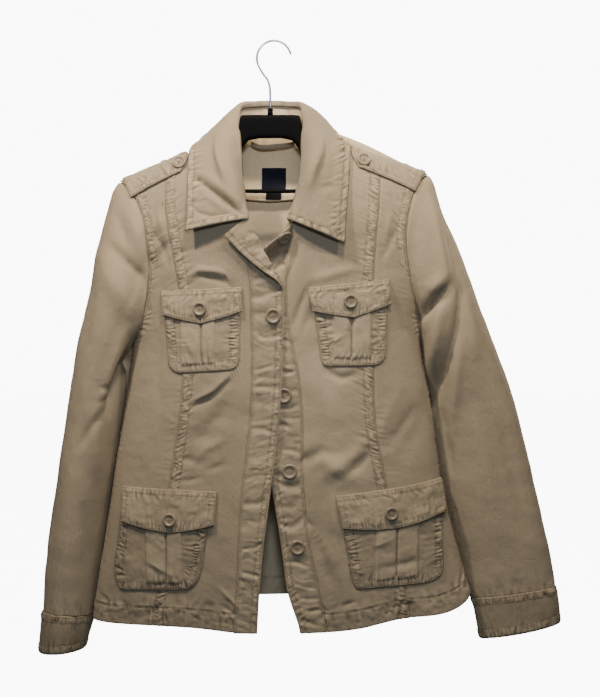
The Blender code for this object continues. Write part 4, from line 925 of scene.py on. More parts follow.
# --- Sleeves -----------------------------------------------------------------------------
# Each sleeve is a tube of twill set into the armhole under the topstitched edge of the
# body. It hangs with a few long folds at the elbow and under the arm.
SLEEVE = {                   # outer line, inner line, half depth, middle y, armhole form, rise
    RIGHT: np.array([
        (-209.9, -189.2, -190.2, -399, 43, 2, 0.86, 0), (-217.7, -213, -190.8, -403, 46, 3, 0.64, 0),
        (-229, -251.6, -191.4, -408, 49, 4, 0.40, 0), (-237, -284.6, -192.2, -414, 51, 5, 0.22, 0),
        (-243.7, -317.3, -192.8, -423, 52, 6, 0.10, 0), (-252.2, -355.5, -195.6, -438, 52, 7, 0.03, 0),
        (-263.8, -404.5, -199.6, -461, 52, 8, 0, 0), (-273.5, -460, -205.2, -492, 51, 8, 0, 1),
        (-284.5, -520, -212.4, -534, 50, 8, 0, 2), (-296, -585, -221, -588, 48, 8, 0, 4),
        (-306, -654, -231.5, -652, 46, 8, 0, 6), (-312.5, -712, -242, -714, 44, 8, 0, 8),
        (-315, -754, -249.5, -760.5, 42, 8, 0, 9)], float),
    LEFT: np.array([
        (205.5, -177, 193.2, -393.5, 39, 2, 0.86, 0), (214.5, -199.5, 194.2, -397.5, 41, 2, 0.64, 0),
        (229.5, -235, 195.4, -402, 42, 3, 0.40, 0), (244, -269.4, 196.8, -407.5, 42, 4, 0.22, 0),
        (258, -305.5, 198.4, -414.5, 41, 5, 0.10, 0), (274, -348, 201, -427, 38, 6, 0.03, 0),
        (293, -397, 205.4, -446, 34, 7, 0, 0), (313.5, -450, 211, -477, 30, 8, 0, 0),
        (331, -511, 218.6, -521, 27, 8, 0, 1), (346, -569, 228.2, -575, 25, 8, 0, 2),
        (360.5, -627, 242, -633, 23, 8, 0, 2), (374.5, -685, 257.5, -693, 21, 8, 0, 3),
        (380.3, -721, 269, -737.5, 19, 8, 0, 3)], float),
}
# half breadth, height, then x and level along the fold, of the front and of the back
ARM_FOLDS = {
    (RIGHT, FRONT): (
        (-6, -5.5, (-208, -262), (-187, -282), (-167, -302), (-163, -322)),
        (14, 4, (-218, -281), (-199, -314), (-178, -357)), (5, 2.2, (-180, -216), (-169, -272)),
        (7, -2.8, (-198, -223), (-188, -263)), (4, -2, (-226, -443), (-208, -444)),
        (4, -2, (-225, -462), (-208, -457)), (7, 4.4, (-188, -366), (-210, -420), (-226, -474)),
        (-7, -16, (-180, -388), (-198, -430), (-215, -476)), (9, 2.5, (-236, -470), (-231, -560)),
        (5, -2.6, (-222, -474), (-240, -500), (-252, -520)), (6, -1.8, (-250, -600), (-246, -700)),
        (14, 2.4, (-262, -520), (-276, -700)), (9, -2.2, (-284, -470), (-300, -640)),
        (10, -2, (-236, -300), (-244, -380)), (3, -1.2, (-262, -735), (-258, -757)),
        (3, -1.4, (-278, -728), (-276, -757)), (3, 1.2, (-290, -733), (-289, -757))),
    (RIGHT, BACK): (
        (8, -4, (-188, -330), (-225, -390), (-262, -430)), (10, 4, (-195, -300), (-240, -350)),
        (7, -3, (-215, -455), (-255, -470)), (7, 3, (-225, -490), (-270, -500)),
        (6, -2.5, (-222, -520), (-262, -535)), (14, 3, (-250, -560), (-275, -720)),
        (10, -2.5, (-285, -560), (-300, -700))),
    (LEFT, FRONT): (
        (7, 4.5, (198, -182), (208, -228), (223, -308)), (-7, -6.5, (216, -192), (232, -262), (244, -322)),
        (8, 2.6, (232, -240), (252, -330), (262, -400)), (8, -2, (240, -270), (258, -369)),
        (-6, -13, (224, -312), (206, -334), (190, -354)), (9, 4, (216, -300), (200, -322)),
        (8, 5.5, (212, -335), (208, -390), (203, -450)),
        (-7, -8, (243, -318), (236, -372), (221, -425), (207, -474)),
        (7, 3, (238, -380), (236, -450), (232, -520)), (5, -2.2, (222, -480), (236, -560)),
        (12, 2.5, (262, -480), (300, -640)), (8, -2.2, (300, -500), (336, -640)),
        (3, -1.3, (300, -712), (304, -730)), (3, -1.3, (322, -705), (328, -726)),
        (3, 1.2, (344, -700), (350, -722))),
    (LEFT, BACK): (
        (8, -4, (190, -330), (230, -385), (275, -420)), (10, 4, (200, -300), (245, -345)),
        (7, -2.6, (215, -450), (265, -465)), (7, 2.6, (228, -485), (280, -500)),
        (6, -2.2, (238, -515), (285, -535)), (13, 2.5, (270, -560), (330, -700))),
}


def arm_steps(count):
    """Angles round the arm as shares of a half turn, at the armhole and lower down."""
    t = np.linspace(0, 1, count // 2 + 1)
    low = np.interp(t, [0, 0.04, 0.10, 0.19, 0.31, 0.45, 0.61, 0.80, 1], np.arange(9) / 8)
    return t, low


def ellipse(row, count, lower=1.0):
    """Ring of a sleeve from a row of its table, with a fold of cloth behind the arm."""
    even_steps, low_steps = arm_steps(count)
    steps = even_steps + (low_steps - even_steps) * lower
    a = np.concatenate([steps, 2 - steps[-2:0:-1]]) * math.pi
    out, inn = np.array([row[0], row[1]]), np.array([row[2], row[3]])
    flat = (out + inn) / 2 + (out - inn) / 2 * np.cos(a)[:, None]
    behind = 25.0 * ease((-388 - row[3]) / 45) * ease((800 + row[3]) / 90)
    shift = behind * np.exp(-((a / math.pi - 1.33) / 0.22) ** 2) * np.sign(inn[0] - out[0])
    deep = np.sin(a)
    return np.stack([flat[:, 0] + shift, row[5] - row[4] * deep, flat[:, 1] + row[7] * deep], -1)


def tucked(side, count):
    """Armhole ring, with directions into the body panel and out of its surface."""
    t = np.linspace(0, 1, count // 2 + 1)
    front, rear = arm_edge(side, FRONT, t), arm_edge(side, BACK, t)
    hole = np.concatenate([front, rear[-2:0:-1]])
    away = unit(np.roll(hole, -1, 0) - np.roll(hole, 1, 0))
    up = hole - hole.mean(0)
    up[:, 0] *= 0.35
    up = unit(up - (up * away).sum(1, keepdims=True) * away)
    into = np.cross(up, away)
    into = into * np.sign((into * [-side, 0, 0]).sum(1).mean())
    return hole, into, up


def sleeve(side, count, rows):
    table = SLEEVE[side]
    hole, into, up = tucked(side, count)
    tip, pit = hole[0], hole[count // 2]
    first = ellipse((tip[0], tip[2], pit[0], pit[2], 40, 1, 0, 0), count, 0)
    stations = [hole] + [ellipse(row, count, min((k + 1) / 7, 1)) + (hole - first) * row[6]
                         for k, row in enumerate(table)]
    stations = np.array(stations)
    path = length_along(stations.mean(1))
    wanted = path[-1] * bands(rows, [(0, 0), (0.5, 0.42), (0.9, 0.93), (1, 1)])
    rings = np.array([[flow(wanted, path, stations[:, i, k]) for k in range(3)]
                      for i in range(count)]).transpose(2, 0, 1)
    lead = unit(rings[3] - rings[0])
    near = [hole + into * 6 - up * 2.6, hole + into * 3 - up * 2.4, hole - up * 2.0,
            hole + lead * 1.2 - up * 1.5]
    return np.concatenate([near, rings[1:]])


for side, word, seed in ((RIGHT, "right", 81), (LEFT, "left", 91)):
    flat = sleeve(side, 96, 134)
    n = grid_normals(flat, True) * -side
    x, z = flat[..., 0], flat[..., 2]
    _, _, top, low = runs(flat)
    round_arm = np.broadcast_to(np.arange(flat.shape[1]) * 2.7, x.shape)
    facing = np.clip(0.5 - 0.9 * n[..., 1], 0, 1)
    relief = 1.3 * (fold_relief(x, z, ARM_FOLDS[side, FRONT]) * facing
                    + fold_relief(x, z, ARM_FOLDS[side, BACK]) * (1 - facing))
    relief = relief + crumple(round_arm, z, seed, 0.55) * ease(top / 20)
    relief = relief * ease(top / 16)
    h, crest = drawn(low, round_arm, seed + 1, NO_ROW, band=(0, 2), high=0.0, drag=0.9, plump=0.0)
    cap = drawn(np.abs(top - 9), round_arm, seed + 2, NO_ROW, band=(0, 1), high=0.0, drag=0.6, plump=0.3)[0]
    flat = flat + n * (relief + h + cap * ease((top - 9) / 6))[..., None]
    # painted shadow in the crevice between the hanging sleeve and the body; the upper sleeve is painted
    # lighter where it faces forward and darker where it faces back
    t = np.linspace(0, 2, flat.shape[1], endpoint=False)
    painted_crevice_shadow = np.exp(-((t - 1.20) / 0.15) ** 2) * ease((-392 - z) / 22) * ease((575 + z) / 70)
    piece(f"sleeve_{word}_tube", flat, f"sleeve_{word}", crest, closed=True, flip=side == LEFT,
          painted_shading=-1.3 * painted_crevice_shadow + 0.14 * ease((z + 390) / 110) * (facing - 0.3))

# --- Cuffs -------------------------------------------------------------------------------
# A band of two plies closes each sleeve, stitched to it along its top and turned in at the
# mouth, with short ribs drawn up along both edges.
CUFF = {                     # the same columns as the sleeve
    RIGHT: np.array([
        (-316.2, -753.6, -249.4, -760, 43, 8, 0, 9), (-319.8, -783, -254, -785, 43, 8, 0, 7),
        (-323, -809, -259, -806, 41, 8, 0, 5)], float),
    LEFT: np.array([
        (381.3, -720, 269.3, -736.6, 20.5, 8, 0, 3), (386, -746, 273.6, -766, 20.5, 8, 0, 2),
        (388.5, -771, 278.3, -793, 20, 8, 0, 1)], float),
}
AROUND = 132                 # points round a cuff
for side, word, seed, girth in ((RIGHT, "right", 101, 270), (LEFT, "left", 105, 255)):
    stations = np.array([ellipse(row, AROUND) for row in CUFF[side]])
    t = np.linspace(0, 2, 32)
    flat = np.array([[flow(t, [0, 1, 2], stations[:, i, k]) for k in range(3)]
                     for i in range(AROUND)]).transpose(2, 0, 1)
    _, _, top, low = runs(flat)
    round_arm = np.broadcast_to(np.arange(AROUND) * girth / AROUND, top.shape)
    relief, crest = drawn(top, round_arm, seed, rows=(2.0, 9.0), high=0.9, pitch=5.4)
    h, c = drawn(low, round_arm, seed + 1, rows=(2.0, 12.0), band=(1, 11), high=0.9, pitch=5.4)
    soft = crumple(round_arm, flat[..., 2], seed + 2, 0.5)
    relief = relief + h + soft - 0.7 * (1 - ease(low / 1.5))
    flat = flat + grid_normals(flat, True) * (-side * relief)[..., None]
    # the cuffs are painted darker all over: painted shade
    piece(f"cuff_{word}_band", flat, f"cuff_{word}", crest + c, painted_shading=-0.36, wall=1.8, closed=True,
          flip=side == LEFT)
    sew(f"stitches_cuff_{word}", [seam_row(flat, "top", 2.0), seam_row(flat, "top", 9.0),
                                  seam_row(flat, "low", 12.0)], flip=side == LEFT)

# --- Collar ------------------------------------------------------------------------------
# A stand rises from the neckline and the fall turns over it in two leaves. The fall is
# topstitched round its edge, drawn into ribs there and creased where it turns.
COLLAR = np.array([          # x y z of the roll line, of the outer edge, height of the roll
    (-33, -62, -229, -110, -61, -243, 5), (-39, -46, -192, -109.5, -52, -197, 6),
    (-43.5, -23, -151, -109, -30, -158, 5), (-48, 2, -97, -108.5, 0, -137.5, 3),
    (-44.5, 19, -79, -97, 27, -131, 3), (-27, 30, -75, -56, 42, -136, 5),
    (-4, 33, -73.5, -5, 46, -139, 5), (19, 31, -74.5, 46, 42, -136, 5),
    (35.5, 19, -78, 85, 27, -129, 6), (38, 3, -95, 96.5, 1, -131.5, 7),
    (36.5, -22, -151, 96.5, -27, -152, 7), (31, -44, -192, 95, -50, -197, 6),
    (20, -56, -229, 90.5, -60, -258, 5)], float)
# distance from the middle at the same stations of the neckline, face; then the folds of
# the leaves: half breadth, height, x and level along the fold
NECK_STATIONS = ((29, FRONT), (43, FRONT), (53, FRONT), (62, FRONT), (52, BACK), (26, BACK), (0, BACK),
                 (26, BACK), (52, BACK), (62, FRONT), (53, FRONT), (43, FRONT), (28, FRONT))
COLLAR_FOLDS = (
    (-3.5, -5.5, (-101, -173), (-84, -186), (-66, -200), (-48, -214), (-34, -223)),
    (6, 3.4, (-94, -166), (-76, -180), (-58, -194), (-42, -208)),
    (5, 2, (-92, -190), (-76, -203), (-60, -213)),
    (-3, -3.2, (-104, -203), (-97, -217), (-80, -223), (-58, -220), (-40, -220)),
    (4, -1.6, (56, -190), (69, -186), (84, -185)), (5, -1, (74, -120), (76, -160), (72, -215)),
    (4, -1.5, (-84, -150), (-98, -158), (-106, -172)), (4, -1.2, (-80, -128), (-96, -134), (-104, -140)))


def round_neck(values, count):
    t = np.linspace(0, len(values) - 1, count)
    return np.stack([flow(t, np.arange(len(values)), values[:, k]) for k in range(values.shape[1])], -1)


def neck_line():
    line = []
    for i, (a, face) in enumerate(NECK_STATIONS):
        side = RIGHT if i < 6 else LEFT
        table, col = (NECK if face == FRONT else NECK_BACK), (1 if side == RIGHT else 2)
        x, z = CENTRE + side * a, float(np.interp(a, table[:, 0], table[:, col]))
        line.append((x, float(depth(np.array(x), np.array(z), face, float(side == RIGHT))), z))
    return np.array(line)


def smooth(values, axis, reach):
    """Mean of each value and its neighbours within reach along an axis."""
    pad = [(0, 0)] * values.ndim
    pad[axis] = (reach, reach)
    wide = np.pad(values, pad, "edge")
    near = range(2 * reach + 1)
    return sum(np.take(wide, np.arange(values.shape[axis]) + k, axis) for k in near) / len(near)


def clear_of_body(points, clear, lift):
    """Moves points out, smoothly, until they stand clear of the cloth of the body."""
    moved = points.copy()
    for _ in range(7):
        x, y, z = moved[..., 0], moved[..., 1], moved[..., 2]
        away, push = np.abs(x - CENTRE), np.zeros(moved.shape)
        for face in (FRONT, BACK):
            table = NECK if face == FRONT else NECK_BACK
            cloth = np.where(x < CENTRE, np.interp(away, table[:, 0], table[:, 1]),
                             np.interp(away, table[:, 0], table[:, 2]))
            on = np.where(away > 62, 1, ease((cloth + 16 - z) / 12))
            on = on * (y * face >= 0) * (z < ridge(x) - 0.01)
            base = depth(x, z, face, lift)
            run = (depth(x, z - 1.5, face, lift) - base) / -1.5
            side = (depth(x + 1.5, z, face, lift) - base) / 1.5
            size = np.sqrt(1 + run ** 2 + side ** 2)
            far = on * np.clip(clear - face * (y - base) / size, 0, 9) / size
            push += face * far[..., None] * np.stack([-side, np.ones(x.shape), -run], -1)
        short = ridge(x) + clear * 1.1 - z
        over = (np.abs(y) < 8) & (short > 0) & (short < 12) & (away > 60)
        push[..., 2] += np.where(over, short, 0)
        moved += 1.3 * smooth(smooth(smooth(push, 0, 9), 1, 5), 0, 5)
    return moved


roll, seam = round_neck(COLLAR[:, :3], 330), round_neck(neck_line(), 330)
edge, swell = round_neck(COLLAR[:, 3:6], 330), round_neck(COLLAR[:, 6:], 330)
rise = unit(roll - seam)
lean = np.stack([seam + rise * 2.0, (seam + roll) / 2 + rise * 1.4, roll + rise * 0.6], 1)[::2]
t = np.linspace(0, 2, 11)
stand = np.array([[flow(t, [0, 1, 2], lean[i, :, k]) for k in range(3)]
                  for i in range(len(lean))]).transpose(0, 2, 1)
first, last, top, low = runs(stand)
h, crest = drawn(first, top, 111, rows=(4.0,), band=(1, 6), high=0.3, drag=0.6)
stand = stand + grid_normals(stand) * (0.6 * h)[..., None]
piece("collar_stand_band", stand, "collar_stand", crest, wall=1.6, offset=0.0, material=KHAKI_PAINTED_LIT,
      cut=(0.05, 0.50))

along, across = np.gradient(roll * 0.5 + edge * 0.5, axis=0), edge - roll
out = unit(np.cross(across, along))
from_middle = (roll + edge) / 2 - [CENTRE, -5, -185]
out = out * np.sign((out * from_middle).sum(1))[:, None]
level = unit(out - rise * (out * rise).sum(1, keepdims=True))
turned = [roll - level * 2.6 + rise * (-0.6 - low) for low in (4.0, 2.0, 0.0)]
turned += [roll + level * 2.6 * math.sin(q) + rise * (3.0 * math.cos(q) - 0.6)
           for q in np.radians([-60, -30])]
fall = np.stack([roll + rise * 2.4 + across * c + out * swell * math.sin(math.pi * c ** 0.55)
                 for c in bands(44, [(0, 0), (0.2, 0.12), (0.62, 0.76), (1, 1)]) * 0.9999 + 0.00005], 1)
fall = clear_of_body(fall, 3.0, (fall[..., 0] < CENTRE).astype(float))
fall = np.concatenate([np.stack(turned, 1), fall], 1)
first, last, top, low = runs(fall)
n = grid_normals(fall)
n = n * (1 if (n * out[:, None]).sum() > 0 else -1)
ends = np.minimum(top, low)
ribs = {"rows": (7.0,), "band": (0.5, 6.5), "pitch": 4.0, "groove": 1.5}
h_edge, c_edge = drawn(last, top, 112, drag=1.4, **ribs)
h_end, c_end = drawn(ends, last, 113, drag=0.7, **ribs)
share = ease(0.5 + (ends - last) / 5)
in_front = np.clip(-n[..., 1] * 2, 0, 1)
relief = h_edge * share + h_end * (1 - share) - 0.6 * (1 - ease(np.minimum(last, ends) / 1.4))
relief = relief + fold_relief(fall[..., 0], fall[..., 2], COLLAR_FOLDS) * in_front * ease((first - 10) / 14)
relief = relief + creases(top, last, 115, 13.0, 1.3, 2.2, 0.5) * np.exp(-((last - 13) / 9) ** 2)
relief = relief + crumple(top, last, 114, 0.9) * ease(last / 10) * ease(first / 8)
crest = c_edge * share + c_end * (1 - share)
leaves = (fall + n * relief[..., None])[:, ::-1]
# the leaves are painted a little darker, the left leaf most: painted shade
piece("collar_leaves", leaves, "collar_fall", crest[:, ::-1], wall=1.2, cut=(0.09, 0.53),
      painted_shading=-0.10 - 0.24 * ease((leaves[..., 0] - CENTRE) / 30))
sew("stitches_collar", [seam_row(leaves, "first", 7.0, (7, 7)), seam_row(leaves, "top", 7.0, (7, 12)),
                        seam_row(leaves, "low", 7.0, (7, 12))])

# --- Shoulder straps -----------------------------------------------------------------------
# A strap of two plies lies along each shoulder from under the collar to the armhole, rounded
# at its buttoned end and stitched twice round its edge.
STRAPS = {"right": (-109.0, -197.5), "left": (98.0, 197.0)}
STRAP_FRONT, STRAP_BACK = 40.0, -8.0


def over_shoulder(x, run, high):
    """Point above the shoulder at a run along the cloth from the shoulder line, its normal."""
    face = FRONT if run > 0 else BACK
    z = float(ridge(x)) - 88 * np.linspace(0, 1, 400) ** 2
    y = depth(x + 0 * z, z, face)
    y[0] = 0
    path = np.concatenate([[0], np.cumsum(np.hypot(np.diff(y), np.diff(z)))])
    (at_y, at_z), (y2, z2), (y1, z1) = [(np.interp(d, path, y), np.interp(d, path, z)) for d in (
        abs(run), abs(run) + 3.0, max(abs(run) - 3.0, 0))]
    ny, nz = face * abs(z2 - z1), abs(y2 - y1)
    size = math.hypot(ny, nz)
    nx = (float(ridge(x - 1)) - float(ridge(x + 1))) / 2 * nz / size
    normal = np.array([nx, ny / size, nz / size])
    normal = normal / np.linalg.norm(normal)
    return np.array([x, at_y, at_z]) + normal * high, normal


for word, (x_in, x_out) in STRAPS.items():
    points = []
    for run in np.linspace(STRAP_BACK, STRAP_FRONT, 34):
        off = (run - 16) / 24
        x_0 = x_in + (x_out - x_in) * 0.11 * off ** 2
        x_1 = x_out - (x_out - x_in) * 0.16 * max(run, 0) / 40
        points.append([over_shoulder(x, run, 3.0)[0] for x in np.linspace(x_0, x_1, 60)])
    strap = smooth(smooth(np.array(points), 0, 2), 1, 1)
    strap = strap if word == "left" else strap[:, ::-1]
    first, last, top, low = runs(strap)
    sides, ends = np.minimum(top, low), np.minimum(first, last)
    seed = 121 if word == "left" else 124
    h, crest = drawn(sides, first, seed, TWO_ROWS, high=0.8, pitch=4.0, drag=0.9)
    h_end, c_end = drawn(ends, top, seed + 1, TWO_ROWS, high=0.7, pitch=4.0, drag=0.6)
    share = ease(0.5 + (ends - sides) / 4)
    relief = h * share + h_end * (1 - share) - 0.8 * (1 - ease(np.minimum(sides, ends) / 1.5))
    soft = crumple(first, 1.6 * top, seed + 2, 0.9) + creases(first, top, seed + 3, 9.0, 0.9, 1.8, 0.9)
    relief = relief + soft * ease(sides / 7) * ease(ends / 7)
    crest = crest * share + c_end * (1 - share)
    relief = relief * ease(np.minimum(sides, ends) / 2.5 + 0.15)
    strap = strap + grid_normals(strap) * relief[..., None]
    piece(f"strap_{word}", strap, f"epaulette_{word}", crest, wall=1.6, held="laid")
    sew(f"stitches_strap_{word}", [seam_row(strap, edge, d, (d, d))
                                   for edge in ("top", "low", "first", "last") for d in TWO_ROWS])

# --- Patch pockets ------------------------------------------------------------------------
# Four patch pockets with rounded lower corners, topstitched twice to the fronts, each with
# a box pleat down its middle.
BAG_FOLDS = {                # half breadth, height, then x and level along the fold
    "chest_right": ((5, 1.0, (-110, -380), (-100, -400)),),
    "chest_left": ((-4, 2.2, (70, -374), (78, -380), (88, -372)), (6, 1.6, (112, -372), (124, -392))),
    "lower_right": ((-5, 2.0, (-166, -668), (-147, -678), (-130, -687)),
                    (5, -1.6, (-164, -676), (-146, -686))),
    "lower_left": ((6, -2.2, (141, -676), (163, -674), (188, -669)),
                   (-5, 1.8, (125, -637), (130, -647), (152, -639))),
}


def laid(x, z, high, face=FRONT, lift=0.0, reach=4.0):
    """Places seen from the front, moved out along the normal of the panel."""
    x, z = np.broadcast_arrays(np.asarray(x, float), np.asarray(z, float))
    gx = (depth(x + reach, z, face, lift) - depth(x - reach, z, face, lift)) / (2 * reach)
    gz = (depth(x, z + reach, face, lift) - depth(x, z - reach, face, lift)) / (2 * reach)
    n = unit(np.stack([gx, -1 + 0 * gx, gz], -1) * -face)
    return np.stack([x, depth(x, z, face, lift), z], -1) + n * np.asarray(high, float)[..., None]


for place, seed in (("chest_right", 131), ("chest_left", 141), ("lower_right", 151), ("lower_left", 161)):
    side, tl, l1, l2, r2, r1, tr, fold, pleat = BAGS[place]
    lift = float(side == RIGHT)
    wide = r1[0] - l1[0]
    # finer columns over the pleat, from at to end
    at, end = [(q - l1[0]) / wide for q in (pleat[0] - 9, pleat[1] + (9 if "chest" in place else 17))]
    counts = [int(wide * at / 1.7), int(wide * (end - at) / 1.1), int(wide * (1 - end) / 1.7)]
    c = np.interp(np.linspace(0, 1, sum(counts)), np.cumsum([0] + counts) / sum(counts), [0, at, end, 1])
    r = bands(72 if "chest" in place else 90, [(0, 0), (0.2, 0.30), (1, 1)])[:, None]
    # foot of the bag: a round corner, the bottom and the other corner, as one line
    turn = np.linspace(0, math.pi / 2, 30)
    corners = [np.stack([q1[0] + (q2[0] - q1[0]) * (1 - np.cos(turn)),
                         q1[1] + (q2[1] - q1[1]) * np.sin(turn)], -1) for q1, q2 in ((l1, l2), (r1, r2))]
    foot = np.concatenate([corners[0], corners[1][::-1]])
    run = length_along(foot)
    marks = np.interp([l1[0] + wide * at, l1[0] + wide * end], foot[:, 0], run)
    share = np.interp(c, [0, at, end, 1], [0, marks[0], marks[1], run[-1]])
    foot_x, foot_z = np.interp(share, run, foot[:, 0]), np.interp(share, run, foot[:, 1])
    x, z = [a + (b - a) * c + (low - a - (b - a) * c) * r
            for a, b, low in ((tl[0], tr[0], foot_x), (tl[1], tr[1], foot_z))]
    base = laid(x, z, 0 * x, lift=lift)
    first, last, top, low = runs(base)
    outline = np.concatenate([[tl], foot, [tr]])
    run = length_along(outline)
    along = np.arange(0, run[-1], 0.5)
    rim = np.stack([np.interp(along, run, outline[:, k]) for k in (0, 1)], -1)
    gaps = np.hypot(x[..., None] - rim[:, 0], z[..., None] - rim[:, 1])
    edge, along = gaps.min(-1), along[gaps.argmin(-1)]
    ribbed = 1.3 - 0.6 * ease((16 - low) / 6)
    stitched, crest = drawn(edge, along, seed, rows=(2.0, 12.0), high=ribbed, pitch=4.4, drag=0.8)
    # the pleat: two folded edges that stand up, and the line between them where they meet
    box = ease((x - pleat[0]) / 1.5 + 0.5) * ease((pleat[1] - x) / 1.5 + 0.5) * ease((low - 9) / 4)
    line = np.exp(-((x - fold) / 1.2) ** 2) * ease((low - 10) / 4)
    gape = np.exp(-((x - fold) / 4.0) ** 2) * ease((z - l2[1] - 12) / 45)
    puff = 1.3 * ease(edge / 22) * np.sin(math.pi * np.clip(r, 0, 1) * 0.9 + 0.3)
    open_pleat = 3.2 if place == "chest_left" else 0.5
    high = 0.9 + 0.7 * ease(edge / 2.0) + puff + 1.6 * box - 2.6 * line - open_pleat * gape
    high = high + stitched + crumple(1.8 * x, 1.5 * z, seed + 2, 0.8) * ease((edge - 8) / 8)
    high = high + fold_relief(x, z, BAG_FOLDS[place])
    bag = laid(x, z, high, lift=lift)
    # the crest is darker along the line where the pleat's folds meet, painted shade, and paler over the pleat
    crest = crest - 0.5 * line + 0.3 * box * (1 - line)
    # the lower pockets are painted darker as shade, the chest pockets a touch lighter as painted light
    piece(f"pocket_{place}_patch", bag, f"pocket_{place}", crest, held="laid", wall=1.0,
          painted_shading={"lower_right": -0.40, "lower_left": -0.26}.get(place, 0.04),
          cut=((np.ptp(x) + 4) * MM, (np.ptp(z) + 6) * MM))
    rows, mid = [], x.shape[1] // 2
    for d in (2.0, 12.0):
        k = np.nonzero(low[:, mid] > d + 3)[0]
        for word, half_row, run in (("first", slice(mid), first), ("last", slice(None, mid, -1), last)):
            away = [np.interp(d, edge[i, half_row], run[i, half_row]) for i in k]
            rows.append(seam_row(bag[k], word, away, (2, 0)))
        k = np.nonzero(edge[len(edge) // 2] > d + 0.5)[0]
        near = [edge[:, i].argmax() for i in k]
        rows.append(seam_row(bag[:, k], "low", [np.interp(d, edge[:q:-1, i], low[:q:-1, i])
                                                for i, q in zip(k, near)]))
    sew(f"stitches_pocket_{place}", rows)

# --- Pocket flaps -----------------------------------------------------------------------
# A pointed flap of two plies over each pocket, stitched down along its top and stitched
# twice round its free edges, with ruffles drawn up between.
for place, seed in (("chest_right", 171), ("chest_left", 181), ("lower_right", 191), ("lower_left", 201)):
    side, tl, tr, bl, br, tip = (FLAPS[place][0],) + tuple(np.array(q) for q in FLAPS[place][1:])
    lift = float(side == RIGHT)
    c_tip = (tip[0] - bl[0]) / (br[0] - bl[0])
    c, r = np.linspace(0, 1, 88 if "chest" in place else 118), np.linspace(0, 1, 36)[:, None]
    c = np.sort(np.append(c, c_tip))
    foot = np.where((c < c_tip)[:, None], bl + (tip - bl) * (c / c_tip)[:, None],
                    tip + (br - tip) * ((c - c_tip) / (1 - c_tip))[:, None])
    near = np.where(c < c_tip, c / c_tip, (1 - c) / (1 - c_tip))[:, None]
    soft = 0.7 if "lower" in place else 0.25
    foot = foot + (tip - bl - (br - bl) * c_tip) * near * (1 - near) * soft
    above = tl + (tr - tl) * c[:, None]
    x = above[:, 0] + (foot[:, 0] - above[:, 0]) * r
    z = above[:, 1] + (foot[:, 1] - above[:, 1]) * r
    high = flow(r, [0, 0.16, 0.5, 1.0], [1.6, 3.4, 4.9, 5.6]) + 1.2 * np.maximum(0, (np.abs(x) - 150) / 60)
    base = laid(x, z, high, lift=lift, reach=6)
    first, last, top, low = runs(base)
    ends = np.minimum(first, last)
    h_top, c_top = drawn(top, first, seed, rows=(2.0, 7.0), high=0.45, pitch=4.2, drag=0.4)
    h_low, c_low = drawn(low, first, seed + 1, TWO_ROWS, high=0.75, pitch=4.0, drag=0.6)
    h_end, c_end = drawn(ends, top, seed + 2, TWO_ROWS, high=0.55, pitch=4.0, drag=0.3)
    share = ease(0.5 + (ends - low) / 4)
    ruffle = 1.6 * np.abs(np.sin(math.pi * (first / 11 + 1.1 * grain(first / 17, top / 19, seed + 3)))) - 1
    ruffle = ruffle * np.exp(-((top - 11) / 6) ** 2) * (0.5 + 0.6 * grain(first / 13, top / 12, seed + 4))
    relief = h_top + (h_low * share + h_end * (1 - share)) * ease((top - 8) / 5) + ruffle * ease(ends / 8)
    soft = crumple(2.6 * first, 2.6 * top, seed + 5, 0.95)
    relief = relief + soft * ease((low - 4) / 5) * ease((ends - 2) / 6)
    relief = relief - 0.6 * (1 - ease(np.minimum(np.minimum(low, ends), top) / 1.4))
    crest = c_top + (c_low * share + c_end * (1 - share)) * ease((top - 8) / 5) + 0.5 * ruffle
    cover = base + grid_normals(base) * relief[..., None]
    # the lower flaps are painted darker as shade, the chest flaps a touch lighter as painted light
    piece(f"flap_{place}_cover", cover, f"flap_{place}", crest, wall=1.1, held="laid",
          painted_shading={"lower_right": -0.20, "lower_left": -0.12}.get(place, 0.05))
    sew(f"stitches_flap_{place}", [seam_row(cover, edge, d, (short, short)) for edge, d, short in (
        ("top", 2.0, 1), ("top", 7.0, 1), ("low", 2.0, 2), ("low", 8.5, 8), ("first", 2.0, 2),
        ("last", 2.0, 2), ("first", 8.5, 8), ("last", 8.5, 8))])

# --- Buttons ----------------------------------------------------------------------------
# Horn-coloured buttons with a rounded rim, a sunk middle and four holes, sewn on with a
# square of thread: 20 mm down the front, 18 mm on the flaps and straps.
HORN, tree, shader = finish("horn_button", {"Roughness": 0.42})
place = node(tree, "ShaderNodeTexCoord")
cloud = node(tree, "ShaderNodeTexNoise", {"Scale": 130.0, "Detail": 3.0})
speck = node(tree, "ShaderNodeTexNoise", {"Scale": 900.0})
ramp = node(tree, "ShaderNodeValToRGB")
ramp.color_ramp.elements[0].position, ramp.color_ramp.elements[1].position = 0.3, 0.75
ramp.color_ramp.elements[0].color = (0.17, 0.128, 0.078, 1)
ramp.color_ramp.elements[1].color = (0.30, 0.235, 0.152, 1)
bump = node(tree, "ShaderNodeBump", {"Strength": 0.15, "Distance": 0.0002})
wire(tree, (place, "Object", cloud, "Vector"), (place, "Object", speck, "Vector"),
     (cloud, "Fac", ramp, "Fac"), (ramp, "Color", shader, "Base Color"), (speck, "Fac", bump, "Height"),
     (bump, 0, shader, "Normal"))
# radius and height as shares, out along the face and in along the underside
BUTTON = np.array([
    (0, 0.5), (0.1, 0.5), (0.17, 0.5), (0.24, 0.5), (0.31, 0.5), (0.4, 0.5), (0.5, 0.5), (0.58, 0.58),
    (0.66, 0.84), (0.75, 0.98), (0.84, 1), (0.92, 0.9), (0.98, 0.68), (1, 0.45), (0.97, 0.16),
    (0.9, 0.04), (0, 0)])
FACETS = 44                              # points round a button
HOLE_RING, HOLE_RADIUS, HOLE_DEPTH = 0.21, 0.115, 0.9        # shares of the radius, millimetres


